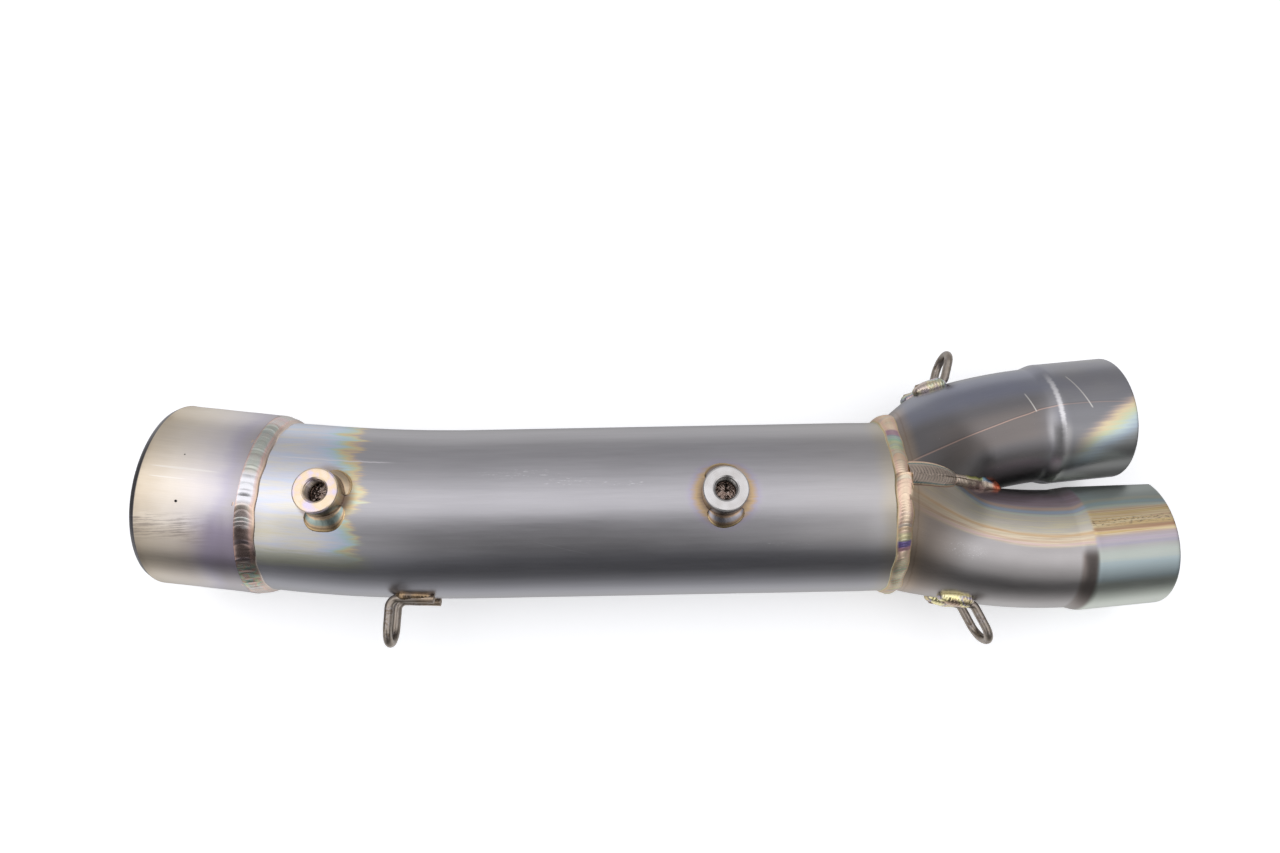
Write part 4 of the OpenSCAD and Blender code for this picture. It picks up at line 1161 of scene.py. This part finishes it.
def paint_wire():
    p = Paint("wire")
    grain = p.noise(p.place(), 1.4, 5.0, 0.65)
    wide = p.noise(p.place(), 0.3, 2.0, 0.5)
    p.colour = p.ramp(wide, (0.3, seen(150, 138, 126)), (0.5, seen(166, 156, 146)), (0.7, seen(130, 116, 102)))
    end = p.attribute("edge")
    p.layer(p.rise(end, 9, 3) * 0.5, seen(176, 150, 120))
    p.layer(p.rise(wide, 0.48, 0.6) * p.rise(grain, 0.45, 0.6) * 0.5, seen(190, 186, 190))
    p.shade(0.74, 1.16, grain)
    return p.finish(grain * 0.25 + 0.22, grain, 0.3, 0.06)


def paint_boss(name, face_stops, side_shade_colour):
    p = Paint(name)
    height, around, radius = p.attribute("along"), p.attribute("around"), p.attribute("edge")
    rings = p.noise(p.vector(radius * 6.0, around * 0.004, 0.0), 1.0, 4.0, 0.6)
    cloud = p.noise(p.place(), 0.22, 2.0, 0.5)
    p.colour = p.ramp(cloud, *face_stops)
    # painted shade: the boss's side is darker than its face
    below = p.rise(height, BOSS_FACE_Z - 0.6, BOSS_FACE_Z - 1.4)
    p.layer(below * 0.8, side_shade_colour)
    deep = p.rise(height, BOSS_FACE_Z - 2.5, BOSS_FACE_Z - 6.5) * p.rise(radius, 4.6, 4.2)
    p.layer(deep * 0.75, seen(70, 56, 46))
    rust = p.noise(p.place(), 2.2, 4.0, 0.7)
    floor_mask = p.rise(height, BOSS_FACE_Z - BOSS_HOLE_DEPTH + 0.6, BOSS_FACE_Z - BOSS_HOLE_DEPTH + 0.3)
    p.layer(floor_mask * 0.9, p.ramp(rust, (0.35, seen(84, 66, 56)), (0.55, seen(150, 130, 120)), (0.7, seen(200, 190, 184))))
    p.shade(0.9, 1.06, rings)
    return p.finish(rings * 0.14 + 0.2, rings, 0.25, 0.02)


def paint_floor():
    """White paper that keeps the shadow. In the metal it shows as a lit sheet that darkens towards the front."""
    material = bpy.data.materials.new("floor_white")
    material.use_nodes = True
    tree = material.node_tree
    shader, output = tree.nodes["Principled BSDF"], tree.nodes["Material Output"]
    shader.inputs["Base Color"].default_value = (0.93, 0.94, 0.96, 1)
    shader.inputs["Roughness"].default_value = 0.9
    shader.inputs["Specular IOR Level"].default_value = 0.1
    shader.inputs["Emission Color"].default_value = (1, 1, 1, 1)
    path = tree.nodes.new("ShaderNodeLightPath")
    lift = tree.nodes.new("ShaderNodeMath")
    lift.operation = "MULTIPLY"
    lift.inputs[1].default_value = FLOOR_LIFT
    tree.links.new(path.outputs["Is Camera Ray"], lift.inputs[0])
    tree.links.new(lift.outputs[0], shader.inputs["Emission Strength"])

    place = tree.nodes.new("ShaderNodeTexCoord")
    apart = tree.nodes.new("ShaderNodeSeparateXYZ")
    tree.links.new(place.outputs["Object"], apart.inputs[0])
    share = tree.nodes.new("ShaderNodeMapRange")
    share.inputs["From Min"].default_value = SHEET[0][0] * MM
    share.inputs["From Max"].default_value = SHEET[-1][0] * MM
    tree.links.new(apart.outputs[1], share.inputs["Value"])
    ramp = tree.nodes.new("ShaderNodeValToRGB")
    tree.links.new(share.outputs[0], ramp.inputs["Fac"])
    elements = ramp.color_ramp.elements
    while len(elements) < len(SHEET):
        elements.new(0.5)
    for element, (y, level) in zip(elements, SHEET):
        element.position, element.color = (y - SHEET[0][0]) / (SHEET[-1][0] - SHEET[0][0]), (level, level, level, 1)
    sheet = tree.nodes.new("ShaderNodeEmission")
    tree.links.new(ramp.outputs[0], sheet.inputs["Color"])
    mix = tree.nodes.new("ShaderNodeMixShader")
    tree.links.new(path.outputs["Is Glossy Ray"], mix.inputs[0])
    tree.links.new(shader.outputs[0], mix.inputs[1])
    tree.links.new(sheet.outputs[0], mix.inputs[2])
    tree.links.new(mix.outputs[0], output.inputs["Surface"])
    return material


FLOOR_LIFT = 0.40
# How bright the paper shows in the metal, by millimetres from the middle towards the rear
SHEET = ((-420, 0.10), (-260, 0.16), (-150, 0.30), (-95, 0.60), (-66, 1.0), (-46, 0.72), (-20, 0.2), (20, 0.18),
         (48, 0.5), (75, 0.8), (170, 0.86), (420, 0.55))
# How bright the room is at an angle from straight up towards the rear, degrees
ROOM = ((-90, 0.09), (-66, 0.11), (-52, 0.26), (-40, 0.82), (-30, 1.12), (0, 1.36), (12, 1.28), (36, 0.80), (60, 0.54), (90, 0.48))
BLOCK_SIDEWAYS = -0.05
# A second soft light low in front on the right: direction, where it starts and is full (cosines), brightness
FILL, FILL_FROM, FILL_FULL, FILL_BRIGHT = (0.48, -0.63, 0.61), 0.86, 0.98, 0.62
# And one at the outlet end, for the lower front of the sleeve
END_FILL, END_FILL_BRIGHT = (-0.66, -0.66, 0.36), 0.75
# Where the one who holds the camera hides the light, and how much stays
BLOCK_AT_DEG, BLOCK_INSIDE, BLOCK_OUTSIDE, BLOCK_KEEPS = -37.0, 0.985, 0.85, 0.14


def world():
    """A wide soft light overhead, less towards the rear, a dark room in front; white to the camera."""
    w = bpy.data.worlds.new("studio")
    bpy.context.scene.world = w
    w.use_nodes = True
    tree = w.node_tree
    background = tree.nodes["Background"]

    def node(kind, operation=None, *values):
        made = tree.nodes.new(kind)
        if operation:
            made.operation = operation
        for k, value in enumerate(values):
            if isinstance(value, bpy.types.NodeSocket):
                tree.links.new(value, made.inputs[k])
            else:
                made.inputs[k].default_value = value
        return made

    def grade(value, low, high, start, end):
        made = node("ShaderNodeMapRange", None, value, low, high, start, end)
        made.interpolation_type = "SMOOTHSTEP"
        return made.outputs[0]

    way = node("ShaderNodeTexCoord").outputs["Generated"]
    parts = node("ShaderNodeSeparateXYZ", None, way)
    lean = node("ShaderNodeMath", "ARCTAN2", parts.outputs[1], parts.outputs[2])
    share = node("ShaderNodeMath", "MULTIPLY_ADD", lean.outputs[0], 1 / math.pi, 0.5)
    ramp = node("ShaderNodeValToRGB", None, share.outputs[0])
    elements = ramp.color_ramp.elements
    while len(elements) < len(ROOM):
        elements.new(0.5)
    for element, (degrees, level) in zip(elements, ROOM):
        element.position, element.color = (degrees + 90) / 180, (level, level, level * 1.02, 1)
    left_end = grade(parts.outputs[0], -0.9, -0.58, 0.16, 1.0)
    towards_left = grade(parts.outputs[0], -0.45, -0.1, 1.18, 1.0)
    right_end = grade(parts.outputs[0], 0.55, 0.85, 1.0, 0.45)
    a = math.radians(BLOCK_AT_DEG)
    block = node("ShaderNodeVectorMath", "DOT_PRODUCT", way, (BLOCK_SIDEWAYS, math.sin(a), math.cos(a)))
    open_sky = grade(block.outputs["Value"], BLOCK_OUTSIDE, BLOCK_INSIDE, 1.0, BLOCK_KEEPS)
    factor = node("ShaderNodeMath", "MULTIPLY", left_end, open_sky)
    for part in (towards_left, right_end):
        factor = node("ShaderNodeMath", "MULTIPLY", factor.outputs[0], part)
    fill = node("ShaderNodeVectorMath", "DOT_PRODUCT", way, FILL)
    fill_light = grade(fill.outputs["Value"], FILL_FROM, FILL_FULL, 0.0, FILL_BRIGHT)
    end_fill = node("ShaderNodeVectorMath", "DOT_PRODUCT", way, END_FILL)
    end_light = grade(end_fill.outputs["Value"], FILL_FROM, FILL_FULL, 0.0, END_FILL_BRIGHT)
    level = node("ShaderNodeVectorMath", "SCALE", ramp.outputs["Color"])
    tree.links.new(factor.outputs[0], level.inputs["Scale"])
    for light in (fill_light, end_light):
        level = node("ShaderNodeVectorMath", "ADD", level.outputs[0], light)
    path = node("ShaderNodeLightPath")
    mix = node("ShaderNodeMix")
    mix.data_type = "RGBA"
    tree.links.new(path.outputs["Is Camera Ray"], mix.inputs[0])
    tree.links.new(level.outputs[0], mix.inputs[6])
    mix.inputs[7].default_value = (1, 1, 1, 1)
    tree.links.new(mix.outputs[2], background.inputs["Color"])
    background.inputs["Strength"].default_value = 1.0


def camera():
    data = bpy.data.cameras.new("camera")
    data.sensor_width = SENSOR_MM
    data.lens = CAMERA_FOCAL_PX / PHOTO_WIDTH_PX * SENSOR_MM
    data.clip_start, data.clip_end = 0.01, 20
    eye = bpy.data.objects.new("camera", data)
    bpy.context.scene.collection.objects.link(eye)
    e, r = CAMERA_ELEVATION, CAMERA_ROLL
    forward = np.array([0, math.cos(e), -math.sin(e)])
    up0, right0 = np.array([0, math.sin(e), math.cos(e)]), np.array([1.0, 0, 0])
    right = math.cos(r) * right0 + math.sin(r) * up0
    up = np.cross(right, forward)
    at = (CAMERA_AT + SHIFT) * MM
    eye.matrix_world = Matrix([[right[k], up[k], -forward[k], at[k]] for k in range(3)] + [[0, 0, 0, 1]])
    bpy.context.scene.camera = eye


def floor():
    mesh = bpy.data.meshes.new("floor")
    half = 4.0
    mesh.from_pydata([(-half, -half, 0), (half, -half, 0), (half, half, 0), (-half, half, 0)], [], [(0, 1, 2, 3)])
    mesh.materials.append(paint_floor())
    plane = bpy.data.objects.new("floor", mesh)
    bpy.context.scene.collection.objects.link(plane)


# ---------------------------------------------------------------- the part
def adopt(piece, slot, *nodes):
    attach(piece, "root")
    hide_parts(*nodes)


def build():
    adopt(main_tube(paint_main()), "tube_graphite", "main_pipe")
    adopt(sleeve(paint_sleeve()), "sleeve_straw", "outlet_sleeve")
    adopt(leg_skin(REAR, paint_leg(True)), "leg_rear", "inlet_pipe_rear")
    adopt(leg_skin(FRONT, paint_leg(False)), "leg_front", "inlet_pipe_front")
    adopt(collector_bead(paint_collector()), "weld_salmon", "weld_collector_ring")
    adopt(sleeve_bead(paint_sleeve_weld()), "weld_salmon", "weld_sleeve_ring")
    crotch = paint_crotch()
    adopt(crotch_bead("weld_crotch_upper", crotch, True, 61), "weld_crotch", "weld_crotch_top")
    adopt(crotch_bead("weld_crotch_lower", crotch, False, 71), "weld_crotch", "weld_crotch_underside")

    warm = paint_boss("boss_warm", ((0.3, seen(232, 216, 204)), (0.5, seen(228, 206, 176)), (0.65, seen(214, 202, 222))), seen(150, 140, 132))
    silver = paint_boss("boss_silver", ((0.3, seen(206, 204, 204)), (0.7, seen(190, 186, 184))), seen(150, 146, 142))
    outlet, inlet = boss_centre(True), boss_centre(False)
    adopt(boss("boss_outlet", warm, outlet, 81), "boss_warm", "boss_outlet_end")
    adopt(boss("boss_inlet", silver, inlet, 83), "boss_silver", "boss_inlet_end")

    skin = Skin()
    boss_patch(skin, outlet, -4, 84, 3.0, 1.2, 0.15, 91)
    boss_patch(skin, outlet, 226, 104, 5.2, 1.3, 0.9, 92)
    adopt(skin.build("weld_boss_outlet", paint_patch("weld_gold_blue", seen(216, 188, 144), seen(192, 168, 140), seen(140, 168, 168)), 70),
          "weld_gold", "weld_boss_outlet_end")
    skin = Skin()
    boss_patch(skin, inlet, 45, 95, 3.4, 1.4, 0.5, 93)
    boss_patch(skin, inlet, 225, 95, 4.0, 1.3, 0.7, 94)
    adopt(skin.build("weld_boss_inlet", paint_patch("weld_brown_blue", seen(200, 176, 136), seen(160, 136, 116), seen(150, 160, 180)), 70),
          "weld_gold", "weld_boss_inlet_end")

    metal = paint_wire()
    melts = {
        "outlet": paint_hook_weld("outlet", (0.35, seen(140, 118, 96)), (0.5, seen(156, 132, 104)), (0.65, seen(120, 108, 100))),
        "rear": paint_hook_weld("rear", (0.36, seen(206, 190, 182)), (0.44, seen(216, 204, 170)), (0.5, seen(190, 204, 186)),
                                (0.56, seen(186, 184, 204)), (0.64, seen(216, 190, 184))),
        "front": paint_hook_weld("front", (0.36, seen(196, 170, 150)), (0.44, seen(252, 240, 176)), (0.54, seen(244, 236, 190)),
                                 (0.6, seen(180, 172, 196)), (0.66, seen(216, 200, 160))),
    }
    lean = math.radians(36)
    hooks = (
        ("outlet", 0.0, 12.5, 6.2, hook_frame_outlet(12.5, 28.5), True, (2.5, 2.1)),
        ("rear", lean, 10.5, 5.4, hook_frame_leg(REAR, 10.5, lean, 12.2, 17), False, (4.6, 3.2)),
        ("front", lean, 10.5, 6.6, hook_frame_leg(FRONT, 10.5, lean, 14.7, 8), False, (4.4, 3.2)),
    )
    for n, (word, tip, foot, arm, place, square_end, pad) in enumerate(hooks):
        line = place(hook_line(foot, arm, tip))
        adopt(wire("hook_" + word, metal, line, 101 + n, square_end), "wire", "spring_hook_" + word)
        adopt(foot_weld("weld_hook_feet_" + word, melts[word], place, tip, 13.0, 111 + 2 * n, *pad),
              "weld_crotch", "weld_hook_" + word)


build()
floor()
world()
camera()
bpy.context.scene.view_settings.view_transform = "Standard"
